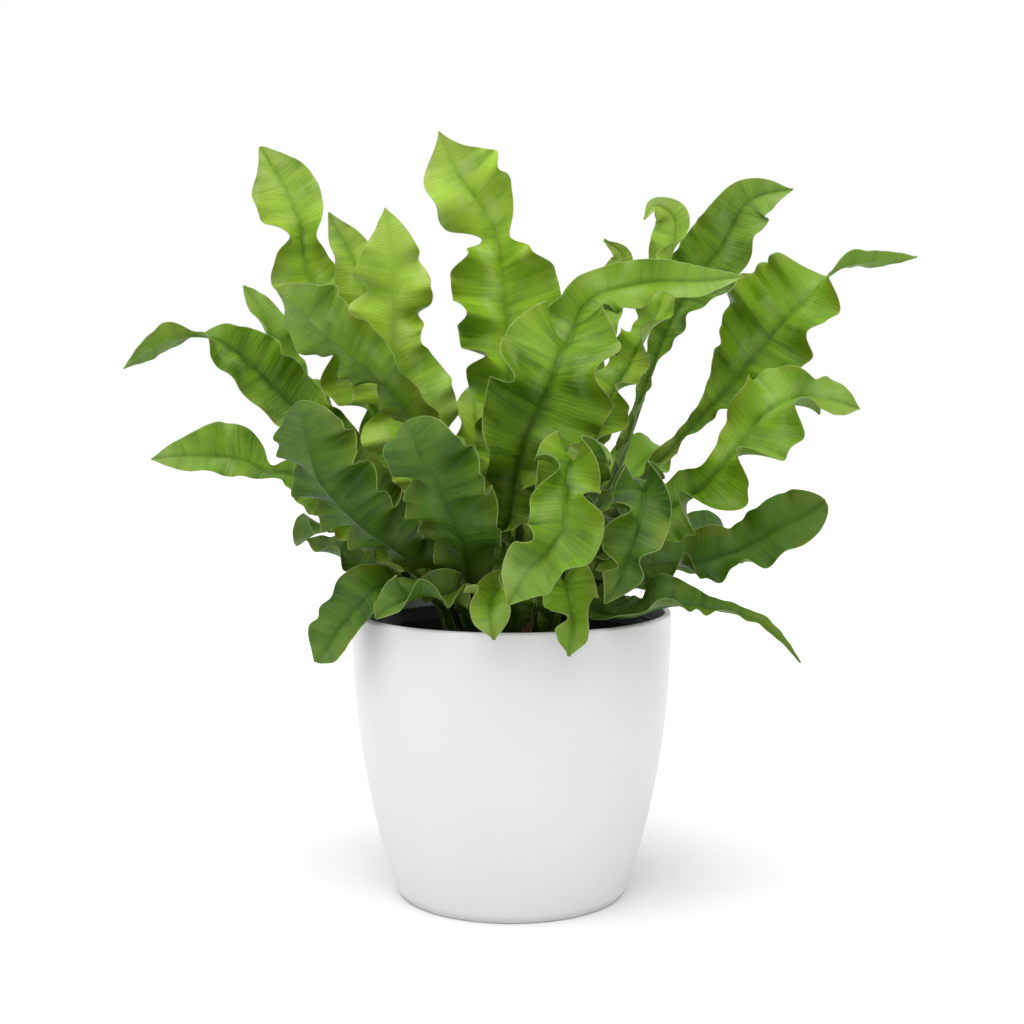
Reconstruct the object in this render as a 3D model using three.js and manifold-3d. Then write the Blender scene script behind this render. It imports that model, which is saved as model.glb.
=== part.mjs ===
// A fern with long waved fronds, growing in a black nursery pot that stands in a plain white
// cover pot. Millimetres, +Z up. The origin is the middle of the cover pot's underside, +X is to
// the right of the front view and +Y goes away from it.

import * as THREE from 'three';
import Module from 'manifold-3d';
import { mergeVertices } from 'three/addons/utils/BufferGeometryUtils.js';

// ---------------------------------------------------------------- driving dimensions

const GAP = 0.3; // clear space between pieces that touch in the real plant

// Cover pot: its wall leans out from the foot and turns upright towards the rim.
const POT = {
  height: 125,
  rimRadius: 70,
  footInset: 19.7, // how far the wall's foot lies inside the rim
  lean: 2.2, // power of the curve from foot to rim
  footRound: 1.5,
  wall: 3,
  floor: 3,
  rings: 7,
  sides: 56,
};

// Nursery pot: it stands on the cover pot's floor and ends just below its rim.
const NURSERY = {
  rimHeight: 119,
  rimRadius: 64,
  baseRadius: 44,
  lipWidth: 2,
  lipHeight: 6,
  wall: 1.2,
  sides: 48,
};

const SOIL = { edgeHeight: 105, middleHeight: 106, flatShare: 0.7, sides: 48 };

// Crown: the short upright rootstock that all the stipes grow from.
const CROWN = {
  radius: 31,
  shoulder: 106,
  top: 115,
  bottom: 90,
  bottomRadius: 22,
  dome: [[0.8, 0.62], [0.45, 0.92]], // [share of the radius, share of the way up to the top]
  sides: 32,
};
const STIPE_HOLE = { radius: 3.3, sides: 6, length: 24 };

const BLADE = {
  skin: 0.6, // thickness of the blade
  ribAtRoot: 2.2, // thickness over the midrib
  ribAtTip: 0.7,
  stemHalf: 2.4, // half the width of the stipe at the root
  stemHalfOut: 0.8, // and further out, where the blade takes over
  stipeEnds: [0.1, 0.4], // the stipe narrows between these places
  riseBend: 0.75, // how fast a plain blade widens
  tipHalf: 0.2,
  neckLength: 0.03, // reach of a neck along the frond, as a share of its length
  veinSweep: THREE.MathUtils.degToRad(12), // how far the side veins lean towards the tip
  rowsPerWave: 4.25,
};

// The waves of a blade. Places and reaches are shares of the frond's length.
const WAVE = {
  stretch: 0.7, // under 1: the waves are closer at the root
  begin: 0.18, // the blade lies flat at the root and waves fully from here
  grow: [0.15, 0.7], // the swing goes from its near to its far value between these places
  calmFrom: 0.8,
  cupFrom: 0.3,
  atMidrib: 0.55, // share of the tilt that is there at the midrib already
  lopsided: 1.2, // how much further a wave swings to the upper side than to the lower side
  bunch: 0.04, // how far a wave's flanks draw together along the frond
  stray: 0.22, // how far a wave leaves its even place, in turns, and how often it does
  strayRate: 1.6,
  uneven: 0.22, // how much the waves differ in height, and how often they do
  unevenRate: 2.3,
  own: [3.1, 1.7, 0.37], // with the phases and the side, these set each half's own pattern
};

const TURN = 2 * Math.PI;
const SLOPE_STEP = 0.004; // steps along and across over which a slope is taken
const SLOPE_STEP_ACROSS = 0.2;
const LOOK_UP = 0.25; // how far the blade looks up at the root

// [colour, roughness]
const FINISH = {
  pot: [0xf2f2f0, 0.45],
  nursery: [0x141414, 0.5],
  soil: [0x2a1d14, 1],
  crown: [0x4a3a22, 0.9],
};
const FROND_ROUGHNESS = 0.45;
const OUTER_FROND = 0x2f6b1c;
const INNER_FROND = 0x7fae2e;

// ---------------------------------------------------------------- the fronds
// path: the midrib from root to tip. faces: where the blade's upper side looks, evenly spaced
// after the root, where it looks at the middle of the plant. width: margin to margin when flat.
// left, right: used instead of a width, how wide that half is at even places. waves, phase and
// cup, for the left and right halves: how many waves, where they start, how far the half is
// tilted up. swing: how far the waves tilt the side veins near the root and further out, in
// degrees. rise: where the blade is at its full width. taper, blunt, edge: where the tip starts
// and how it closes. calm: how much of the waves the tip loses. necks: [place, kept width] where
// the blade is narrow. Places run from 0 at the root to 1 at the tip.

const FRONDS = [
  {
    name: 'tall', waves: [10, 10], swing: [42, 40], phase: [0.1, 0.45],
    taper: 0.86, blunt: 1.5, edge: 1, calm: 0.8, cup: [10, 10], necks: [[0.77, 0.35]],
    left: [2.4, 3, 8, 12, 15, 20, 23, 23, 19, 23, 12],
    right: [2.4, 3, 8, 12, 16, 21, 26, 24, 16, 23, 12],
    path: [[1, 5.9, 107], [-4, 12, 154], [-2, 22, 198], [-1, 26, 229], [-2, 27, 250],
      [-5, 28, 274], [-7, 28, 290], [-13, 26, 301], [-24, 22, 316], [-32, 18, 334]],
    faces: [[0, -1, 0]],
  },
  {
    name: 'left_tall', waves: [9, 9], swing: [50, 46], phase: [0.3, 0.6],
    taper: 0.9,
    left: [2.4, 3, 8, 11, 13, 15, 18, 20, 17, 18, 8],
    right: [2.4, 3, 8, 11, 13, 15, 16, 16, 10, 15, 7],
    path: [[-10.7, 9, 107], [-25, 20, 144], [-51, 34, 191], [-77, 44, 234], [-89, 46, 263],
      [-95, 46, 279], [-97, 44, 296], [-104, 42, 313], [-114, 38, 330]],
    faces: [[0.4, -1, 0.2]],
  },
  {
    name: 'left_behind', width: 32, waves: [7, 7], swing: [50, 28], phase: [0, 0.1],
    rise: 0.7,
    path: [[-17.3, 10, 107], [-33, 32, 143], [-67, 56, 183], [-102, 74, 215], [-115, 82, 239],
      [-121, 86, 257], [-131, 92, 271]],
    faces: [[0.8, -0.3, 0.5], [0.8, -0.3, 0.5], [0.3, -0.8, 0.3]],
  },
  {
    name: 'far_left', waves: [8, 8], swing: [42, 24], phase: [0, 0.3],
    taper: 0.95, necks: [[0.84, 0.25]],
    left: [2.4, 3, 7, 10, 12, 13, 12, 12, 14, 8, 1],
    right: [2.4, 3, 7, 10, 12, 14, 15, 17, 9, 9, 1],
    path: [[-13.5, 3.6, 107], [-32, 8, 143], [-62, 12, 176], [-89, 14, 205], [-106, 12, 222],
      [-121, 8, 237], [-134, 4, 244], [-150, -2, 241], [-166, -10, 230]],
    faces: [[0.5, -0.9, 0.5], [0.5, -0.9, 0.5], [0.4, -0.9, 0.4], [0.3, -1, 0.4], [0.2, -1, 0.3],
      [0.1, -1, 0.3], [0, 0.6, 0.8], [0, 0.9, 0.6]],
  },
  {
    name: 'left', waves: [7, 7], swing: [32, 12], phase: [0, 0.1],
    taper: 0.95, calm: 0.9, cup: [10, 10], necks: [[0.69, 0.4]],
    left: [2.4, 3, 6, 9, 11, 12, 9, 7, 9, 7.5, 1],
    right: [2.4, 3, 6, 9, 11, 12, 9, 8, 16, 9, 1],
    path: [[-21.9, -1.9, 107], [-33, -4, 134], [-57, -8, 152], [-78, -12, 170], [-93, -14, 184],
      [-104, -16, 186], [-115, -18, 191], [-132, -22, 193], [-151, -28, 192]],
    faces: [[0.3, -0.5, 1], [0.1, -0.8, 0.6], [0, -1, 0.2]],
  },
  {
    name: 'front_left', waves: [8, 9], swing: [50, 26], phase: [0.2, 0.55],
    taper: 0.9, calm: 0.85, cup: [12, 12],
    left: [2.4, 3, 7, 12, 17, 21, 23, 22, 21, 18, 9],
    right: [2.4, 3, 6, 9, 13, 17, 19, 19, 19, 17, 10],
    path: [[-13.1, -9.2, 107], [-27, -24, 141], [-46, -38, 154], [-61, -48, 166], [-71, -56, 177],
      [-77, -61, 186], [-80, -65, 197], [-82, -67, 208], [-83, -66, 217]],
    faces: [[0.5, 0.8, 0.4], [0.5, 0.8, 0.4], [0.5, 0.8, 0.4], [0.4, 0.8, 0.1]],
  },
  {
    name: 'front_left_high', waves: [8, 8], swing: [50, 26], phase: [0, 0.3],
    taper: 0.86, cup: [12, 12],
    left: [2.4, 3, 7, 9, 10, 11, 11, 12, 17, 18, 9],
    right: [2.4, 3, 7, 9, 10, 11, 11, 13, 17, 18, 9],
    path: [[-8.6, -12.3, 107], [-15, -14, 139], [-27, -22, 174], [-41, -32, 208], [-55, -38, 226],
      [-68, -40, 237], [-80, -40, 247], [-89, -40, 256], [-96, -38, 262]],
    faces: [[0.4, 0.8, 0.5]],
  },
  {
    name: 'inner_left', waves: [8, 8], swing: [44, 34], phase: [0, 0.1],
    taper: 0.9,
    left: [2.4, 3, 6, 7, 8, 9, 12, 12, 13, 10, 3],
    right: [2.4, 3, 6, 7, 8, 9, 11, 12, 13, 10, 3],
    path: [[-5, 8.7, 107], [-18, 10, 145], [-36, 12, 185], [-52, 19, 225], [-62, 24, 252],
      [-67, 24, 267], [-73, 24, 283], [-81, 20, 299]],
    faces: [[0.1, -1, 0.1]],
  },
  {
    name: 'upright_left', waves: [9, 9], swing: [56, 32], phase: [0, 0.4],
    taper: 0.97, cup: [12, 12],
    left: [2.4, 3, 8, 12, 15, 19, 20, 12, 17, 11, 1],
    right: [2.4, 3, 8, 13, 19, 25, 25, 18, 21, 13, 1],
    path: [[-4.2, -4.2, 107], [-16, -6, 149], [-28, -10, 178], [-36, -12, 195], [-42, -13, 210],
      [-46, -13, 225], [-50, -14, 240], [-50, -16, 259], [-50, -18, 279], [-53, -18, 297]],
    faces: [[0.1, 1, 0.3]],
  },
  {
    name: 'front_bending', waves: [9, 9], swing: [46, 26], phase: [0.1, 0.4],
    taper: 0.97, calm: 1, cup: [20, 20],
    left: [2.4, 3, 6, 11, 19, 26, 21, 12, 11, 8, 1],
    right: [2.4, 3, 6, 11, 20, 28, 22, 14, 14, 11, 1],
    path: [[-1.3, -8.9, 107], [-3, -22, 149], [0, -34, 171], [3, -44, 192], [8, -51, 207],
      [14, -55, 219], [18, -55, 230], [20, -48, 236], [23, -38, 239], [26, -29, 246],
      [30, -22, 255], [37, -19, 261], [48, -19, 264], [62, -20, 266], [80, -22, 266], [97, -24, 268]],
    faces: [[-1, 0.3, 0.2], [-0.6, -0.9, 0.2], [0, -1, 0.2], [0, -1, 0.2], [0, -0.7, 0.8],
      [0.2, -0.8, 0.6], [0, -0.9, 0.5], [0, -0.8, 0.5]],
  },
  {
    name: 'right_high', waves: [10, 10], swing: [50, 16], phase: [0, 0.5],
    taper: 0.95, calm: 0.7,
    left: [2.4, 3, 5, 5, 5, 5, 7, 14, 17, 12, 1],
    right: [2.4, 3, 5, 5, 5, 5, 7, 14, 18, 14, 2],
    path: [[11.8, 9.2, 107], [22, 18, 144], [44, 30, 175], [55, 38, 202], [63, 42, 225],
      [71, 43, 246], [79, 42, 262], [88, 40, 275], [95, 38, 284], [101, 36, 295], [106, 34, 304],
      [114, 31, 308], [126, 28, 310]],
    faces: [[-0.8, -0.2, 0.5], [-0.9, -0.2, 0.4], [-0.9, -0.4, 0.3], [-0.5, -0.9, 0.3],
      [-0.3, -1, 0.2], [-0.3, -1, 0.2]],
  },
  {
    name: 'far_right', waves: [12, 12], swing: [54, 28], phase: [0, 0.5],
    taper: 0.97, calm: 0.9, cup: [10, 10], necks: [[0.53, 0.8], [0.85, 0.25]],
    left: [2.4, 3, 5, 5, 4.5, 4.5, 15, 28, 22, 7, 0.5],
    right: [2.4, 3, 5, 5, 4, 4.5, 17, 20, 18, 7, 0.5],
    path: [[17.4, -4.7, 107], [22, -5, 140], [43, -4, 162], [58, -4, 183], [70, -4, 196],
      [82, -4, 209], [93, -5, 221], [107, -8, 238], [121, -12, 255], [137, -14, 271],
      [152, -14, 275], [172, -12, 277]],
    faces: [[-0.75, 0, 0.6], [-0.75, 0, 0.6], [-0.7, -0.5, 0.6], [-0.4, -0.9, 0.3],
      [-0.3, -1, 0.3], [-0.2, -0.9, 0.5], [0, 0.4, 0.9], [0, 0.9, 0.3]],
  },
  {
    name: 'right', waves: [8, 8], swing: [52, 42], phase: [0, 0.4],
    taper: 0.95, necks: [[0.87, 0.5]],
    left: [2.4, 3, 7, 9, 11, 13, 7, 13, 18, 12, 2],
    right: [2.4, 3, 8, 11, 14, 18, 21, 23, 18, 11, 2],
    path: [[10.7, -9, 107], [27, -20, 139], [46, -32, 154], [63, -42, 170], [75, -48, 179],
      [85, -52, 190], [94, -52, 201], [104, -48, 212], [118, -42, 218], [131, -36, 217],
      [145, -30, 213]],
    faces: [[-0.4, -0.5, 0.7], [-0.4, -0.8, 0.5], [-0.4, -0.8, 0.5], [-0.2, -0.8, 0.5]],
  },
  {
    name: 'right_low', waves: [5, 5], swing: [36, 26], phase: [0, 0.4],
    taper: 0.88, blunt: 2.5,
    left: [2.4, 3, 5, 8, 11, 13, 15, 12, 13, 13, 9],
    right: [2.4, 3, 5, 9, 13, 15, 16, 16, 14, 13, 9],
    path: [[24, 0, 107], [30, -6, 134], [45, -10, 140], [61, -12, 145], [77, -12, 146],
      [90, -12, 149], [101, -12, 153], [113, -12, 161], [124, -12, 166], [135, -12, 173]],
    faces: [[-0.1, -0.6, 0.9], [-0.2, -1, 0.3]],
  },
  {
    name: 'right_drooping', waves: [5, 5], swing: [24, 16], phase: [0, 0.3],
    left: [2.4, 3, 5, 10, 14, 15, 12, 6, 4, 3, 1],
    right: [2.4, 3, 4, 7, 9, 11, 11, 7, 4, 3, 1],
    path: [[21, -13.6, 107], [28, -33, 131], [38, -46, 129], [49, -54, 130], [60, -58, 134],
      [71, -58, 135], [82, -58, 133], [92, -58, 131], [101, -58, 127], [109, -58, 120],
      [117, -58, 111]],
    faces: [[0, -0.3, 1], [0.1, -0.5, 0.8]],
  },
  {
    name: 'front_drooping', width: 23, waves: [6, 6], swing: [50, 46], phase: [0, 0.1],
    calm: 0.4,
    path: [[13, -22.5, 107], [18, -46, 135], [21, -61, 144], [23, -73, 139], [24, -80, 130],
      [22, -82, 118]],
    faces: [[0.1, -0.3, 1], [0.1, -0.6, 0.8], [0.3, -1, 0.2]],
  },
  {
    name: 'front_arching', waves: [10, 11], swing: [48, 48], phase: [0, 0.5],
    calm: 0.6,
    left: [2.4, 3, 6, 10, 13, 15, 14, 13, 15, 13, 4],
    right: [2.4, 3, 6, 10, 14, 17, 15, 13, 14, 12, 4],
    path: [[7.5, -13, 107], [19, -32, 150], [24, -54, 171], [26, -72, 186], [24, -86, 194],
      [21, -98, 190], [20, -105, 181], [19, -109, 170], [13, -110, 161], [5, -111, 153],
      [-1, -109, 142]],
    faces: [[0, -0.4, 0.9], [0, -0.4, 0.9], [-0.1, -0.6, 0.8], [0.2, -0.8, 0.5], [-0.2, -1, 0.3]],
  },
  {
    name: 'front_right', waves: [9, 9], swing: [50, 54], phase: [0.3, 0.8],
    calm: 0.4,
    left: [2.4, 3, 4, 6, 9, 12, 12, 11, 12, 9, 2],
    right: [2.4, 3, 4, 6, 9, 11, 12, 12, 12, 9, 2],
    path: [[13.4, -15.5, 107], [23, -29, 130], [34, -43, 149], [43, -56, 165], [49, -69, 177],
      [51, -81, 183], [50, -91, 178], [46, -98, 166], [41, -101, 152], [35, -101, 141]],
    faces: [[-0.3, -0.5, 0.8], [-0.3, -0.5, 0.8], [0, -0.6, 0.8], [0.3, -0.9, 0.3]],
  },
  {
    name: 'front_small', width: 24, waves: [5, 5], swing: [40, 46], phase: [0, 0.1],
    calm: 0.3,
    path: [[-0.8, -22, 107], [1, -42, 130], [-3, -59, 138], [-7, -73, 140], [-8, -83, 134],
      [-7, -86, 125]],
    faces: [[0, -0.4, 0.9]],
  },
  {
    name: 'inner_right', waves: [9, 9], swing: [48, 46], phase: [0, 0.5],
    left: [2.4, 3, 5, 7, 11, 13, 11, 12, 11, 9, 2],
    right: [2.4, 3, 5, 7, 11, 13, 11, 12, 11, 9, 2],
    path: [[7.5, 2.7, 107], [15, 2, 146], [28, -2, 169], [35, -6, 195], [43, -6, 217],
      [56, 0, 240], [64, 6, 255], [68, 10, 269], [71, 14, 284], [71, 14, 296], [63, 12, 301],
      [58, 10, 295]],
    faces: [[-0.5, -0.8, 0.2], [-0.5, -0.8, 0.2], [-0.8, -0.5, 0.2], [-0.3, -1, 0]],
  },
  {
    name: 'inner_back', width: 30, waves: [7, 7], swing: [50, 28], phase: [0, 0.1],
    taper: 0.6,
    path: [[4.1, 11.3, 107], [8, 24, 144], [19, 38, 179], [27, 50, 216], [37, 57, 248],
      [46, 60, 269], [52, 58, 282], [43, 54, 290]],
    faces: [[-0.2, -1, 0]],
  },
  {
    name: 'front_centre', waves: [6, 7], swing: [42, 24], phase: [0, 0.5],
    taper: 0.92, calm: 1, cup: [8, 8],
    left: [2.4, 3, 6, 9, 12, 16, 19, 20, 20, 17, 8],
    right: [2.4, 3, 6, 10, 14, 18, 20, 19, 17, 15, 8],
    path: [[-11, -19.1, 107], [-18, -43, 145], [-20, -61, 161], [-25, -72, 175], [-30, -79, 186],
      [-35, -83, 195], [-38, -84, 203], [-41, -82, 209]],
    faces: [[0.3, 0.8, 0.5], [0.3, 0.8, 0.5], [0.3, 0.8, 0.5], [0.3, 0.8, 0.1]],
  },
  {
    name: 'front_low', width: 24, waves: [5, 5], swing: [50, 42], phase: [0, 0.1],
    rise: 0.6, calm: 0.4,
    path: [[-13, -22.5, 107], [-22, -48, 134], [-33, -60, 139], [-41, -69, 138], [-48, -74, 136],
      [-53, -78, 132]],
    faces: [[0.1, -0.4, 0.9]],
  },
  {
    name: 'left_drooping', waves: [2, 2], swing: [26, 14], phase: [0, 0.2],
    cup: [10, 10],
    left: [2.4, 3, 4, 6, 8, 10, 11, 12, 12, 10, 5],
    right: [2.4, 3, 4, 6, 8, 11, 14, 15, 14, 11, 5],
    path: [[-22.6, -8.2, 107], [-31, -17, 131], [-42, -27, 135], [-52, -35, 139], [-59, -40, 137],
      [-67, -43, 128], [-74, -44, 118], [-81, -44, 109]],
    faces: [[-0.1, -0.5, 0.9], [-0.5, -0.8, 0.4]],
  },
  {
    name: 'left_low_back', width: 26, waves: [5, 5], swing: [50, 28], phase: [0, 0.1],
    rise: 0.6,
    path: [[-25.7, 3.6, 107], [-36, 12, 132], [-50, 18, 135], [-64, 24, 139], [-76, 28, 144],
      [-87, 32, 149], [-94, 34, 152]],
    faces: [[0.1, -0.5, 0.9]],
  },
  {
    name: 'right_short', width: 18, waves: [5, 5], swing: [50, 28], phase: [0, 0.1],
    path: [[12.9, 1.8, 107], [22, 11, 148], [33, 16, 178], [40, 20, 198], [43, 22, 214]],
    faces: [[-0.5, -0.8, 0.3]],
  },
  {
    name: 'back_left_low', width: 34, waves: [6, 6], swing: [50, 28], phase: [0, 0.1],
    path: [[-22.5, 13, 107], [-38, 34, 132], [-64, 60, 148], [-90, 86, 152], [-108, 104, 142]],
    faces: [[0.3, -0.5, 0.9]],
  },
  {
    name: 'back_left', width: 34, waves: [6, 6], swing: [50, 28], phase: [0, 0.1],
    path: [[-11.5, 16.4, 107], [-21, 48, 148], [-37, 78, 176], [-51, 104, 192], [-61, 120, 194]],
    faces: [[0.3, -0.8, 0.6]],
  },
  {
    name: 'back_upright', width: 30, waves: [5, 5], swing: [50, 28], phase: [0, 0.1],
    path: [[-4.1, 15.5, 107], [-10, 33, 152], [-15, 48, 190], [-17, 58, 212], [-17, 64, 224]],
    faces: [[0.1, -1, 0.4]],
  },
  {
    name: 'back_centre', width: 32, waves: [5, 5], swing: [50, 28], phase: [0, 0.1],
    path: [[2.1, 23.9, 107], [8, 50, 146], [14, 78, 176], [16, 102, 194], [14, 118, 198]],
    faces: [[0, -1, 0.6]],
  },
  {
    name: 'back_right', width: 32, waves: [6, 6], swing: [50, 28], phase: [0, 0.1],
    path: [[12.6, 18, 107], [28, 38, 144], [50, 60, 172], [68, 82, 188], [80, 100, 190]],
    faces: [[-0.3, -0.8, 0.6]],
  },
  {
    name: 'back_right_low', width: 32, waves: [6, 6], swing: [50, 28], phase: [0, 0.1],
    path: [[21.3, 14.9, 107], [46, 32, 132], [74, 52, 146], [98, 70, 150], [114, 84, 142]],
    faces: [[-0.3, -0.5, 0.9]],
  },
  {
    name: 'back_low', width: 28, waves: [5, 5], swing: [50, 28], phase: [0, 0.1],
    path: [[-3.3, 26.8, 107], [-5, 54, 133], [-10, 80, 142], [-12, 104, 140], [-12, 120, 128]],
    faces: [[0, -0.4, 1]],
  },
  {
    name: 'right_low_back', width: 26, waves: [5, 5], swing: [50, 28], phase: [0, 0.1],
    path: [[25.4, 5.4, 107], [46, 12, 132], [72, 20, 142], [94, 28, 146], [110, 34, 142]],
    faces: [[-0.1, -0.5, 0.9]],
  },
];

// ---------------------------------------------------------------- small helpers

const wasm = await Module();
wasm.setup();

const smooth = (x) => THREE.MathUtils.smoothstep(x, 0, 1);

function toSolid(geometry) {
  const bare = geometry.clone();
  bare.deleteAttribute('normal');
  bare.deleteAttribute('uv');
  const merged = mergeVertices(bare, 1e-5);
  const mesh = new wasm.Mesh({
    numProp: 3,
    vertProperties: new Float32Array(merged.attributes.position.array),
    triVerts: new Uint32Array(merged.index.array),
  });
  return new wasm.Manifold(mesh);
}

function toGeometry(solid) {
  const mesh = solid.getMesh();
  const geometry = new THREE.BufferGeometry();
  geometry.setAttribute('position', new THREE.BufferAttribute(new Float32Array(mesh.vertProperties), 3));
  geometry.setIndex(new THREE.BufferAttribute(new Uint32Array(mesh.triVerts), 1));
  geometry.computeVertexNormals();
  return geometry;
}

// A turned solid whose axis is +Z, from [radius, height] points that start and end on the axis.
function turned(points, sides) {
  const profile = points.map(([radius, height]) => new THREE.Vector2(radius, height));
  const geometry = new THREE.LatheGeometry(profile, sides);
  geometry.rotateX(Math.PI / 2);
  return geometry;
}

function piece(name, geometry, [colour, roughness]) {
  const material = new THREE.MeshStandardMaterial({ color: colour, roughness, metalness: 0 });
  const mesh = new THREE.Mesh(geometry, material);
  mesh.name = name;
  return mesh;
}

// ---------------------------------------------------------------- pots, soil and crown

function potRadius(height) {
  return POT.rimRadius - POT.footInset * (1 - height / POT.height) ** POT.lean;
}

function coverPot() {
  const outside = [];
  const inside = [];
  const half = POT.wall / 2;
  const top = POT.height - half;
  for (let i = 0; i <= POT.rings; i += 1) {
    const up = i / POT.rings;
    const outer = POT.footRound + (top - POT.footRound) * up;
    outside.push([potRadius(outer), outer]);
    const inner = top - (top - POT.floor) * up;
    inside.push([potRadius(inner) - POT.wall, inner]);
  }
  const bead = half * Math.SQRT1_2;
  const middle = POT.rimRadius - half;
  const rim = [[middle + bead, top + bead], [middle, POT.height], [middle - bead, top + bead]];
  const foot = [[0, 0], [potRadius(0) - POT.footRound, 0]];
  return turned([...foot, ...outside, ...rim, ...inside, [0, POT.floor]], POT.sides);
}

const nurseryBase = POT.floor + GAP;

function nurseryPot() {
  const lipFoot = NURSERY.rimHeight - NURSERY.lipHeight;
  const wallTop = NURSERY.rimRadius - NURSERY.lipWidth;
  const points = [
    [0, nurseryBase],
    [NURSERY.baseRadius, nurseryBase],
    [wallTop, lipFoot],
    [NURSERY.rimRadius, lipFoot],
    [NURSERY.rimRadius, NURSERY.rimHeight],
    [NURSERY.rimRadius - NURSERY.wall, NURSERY.rimHeight],
    [wallTop - NURSERY.wall, lipFoot],
    [NURSERY.baseRadius - NURSERY.wall, nurseryBase + NURSERY.wall],
    [0, nurseryBase + NURSERY.wall],
  ];
  return turned(points, NURSERY.sides);
}

function crownProfile(grow) {
  const { radius, shoulder, top, bottom, bottomRadius, dome } = CROWN;
  return [
    [0, bottom - grow],
    [bottomRadius + grow, bottom - grow],
    [radius + grow, shoulder + grow],
    ...dome.map(([share, up]) => [radius * share, shoulder + (top - shoulder) * up + grow]),
    [0, top + grow],
  ];
}

// The peat fills the nursery pot and leaves a seat for the crown.
function soil() {
  const base = nurseryBase + NURSERY.wall + GAP;
  const lipFoot = NURSERY.rimHeight - NURSERY.lipHeight;
  const baseRadius = NURSERY.baseRadius - NURSERY.wall - 2 * GAP;
  const topRadius = NURSERY.rimRadius - NURSERY.lipWidth - NURSERY.wall - GAP;
  const slope = (topRadius - baseRadius) / (lipFoot - base);
  const edgeRadius = baseRadius + slope * (SOIL.edgeHeight - base);
  const body = turned([
    [0, base],
    [baseRadius, base],
    [edgeRadius, SOIL.edgeHeight],
    [edgeRadius * SOIL.flatShare, SOIL.middleHeight],
    [0, SOIL.middleHeight],
  ], SOIL.sides);
  const seat = turned([...crownProfile(GAP).slice(0, 3), [0, CROWN.shoulder + CROWN.top]], CROWN.sides);
  return toGeometry(toSolid(body).subtract(toSolid(seat)));
}

// ---------------------------------------------------------------- frond geometry

// The midrib and the blade's directions at place u, from 0 at the root to 1 at the tip.
function makeRib(spec) {
  const points = spec.path.map((p) => new THREE.Vector3(...p));
  const curve = new THREE.CatmullRomCurve3(points, false, 'catmullrom', 0.5);
  const inward = new THREE.Vector3(-points[0].x, -points[0].y, 0).normalize();
  inward.z = LOOK_UP;
  const given = spec.faces.length > 1 ? spec.faces : [spec.faces[0], spec.faces[0], spec.faces[0]];
  const looks = [inward, ...given.map((f) => new THREE.Vector3(...f))].map((f) => f.normalize());
  const facing = new THREE.CatmullRomCurve3(looks, false, 'catmullrom', 0.5);
  return (u) => {
    const from = curve.getPointAt(Math.max(u - SLOPE_STEP, 0));
    const to = curve.getPointAt(Math.min(u + SLOPE_STEP, 1));
    const along = to.sub(from).normalize();
    const up = facing.getPoint(u);
    up.addScaledVector(along, -up.dot(along)).normalize();
    const across = new THREE.Vector3().crossVectors(along, up);
    return { point: curve.getPointAt(u), along, up, across };
  };
}

// A half whose width is given at even places from root to tip.
function givenHalf(spec, u, widths) {
  const { taper = 0.9, blunt = 2, edge = 0.6, necks = [] } = spec;
  const points = widths.map((width) => new THREE.Vector3(width, 0, 0));
  const row = new THREE.CatmullRomCurve3(points, false, 'catmullrom', 0.5);
  let wide = row.getPoint(u).x;
  for (const [place, kept] of necks) {
    wide *= 1 - (1 - kept) * Math.exp(-(((u - place) / BLADE.neckLength) ** 2));
  }
  const closing = THREE.MathUtils.clamp((u - taper) / (1 - taper), 0, 1);
  return Math.max(wide * (1 - closing ** blunt) ** edge, BLADE.tipHalf);
}

// A plain half: the stipe widens into the blade, which closes at the tip.
function plainHalf(spec, u) {
  const { rise = 0.5, stem = 0.03, taper = 0.72, blunt = 1.9, edge = 0.9 } = spec;
  const wide = (spec.width / 2) * smooth((u - stem) / rise) ** BLADE.riseBend;
  const closing = THREE.MathUtils.clamp((u - taper) / (1 - taper), 0, 1);
  const [from, to] = BLADE.stipeEnds;
  const narrowing = 1 - smooth((u - from) / (to - from));
  const stipe = BLADE.stemHalfOut + (BLADE.stemHalf - BLADE.stemHalfOut) * narrowing;
  return Math.max(stipe, wide * (1 - closing ** blunt) ** edge, BLADE.tipHalf);
}

function halfWidth(spec, u, side) {
  if (!spec.left) return plainHalf(spec, u);
  return givenHalf(spec, u, side ? spec.right : spec.left);
}

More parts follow.
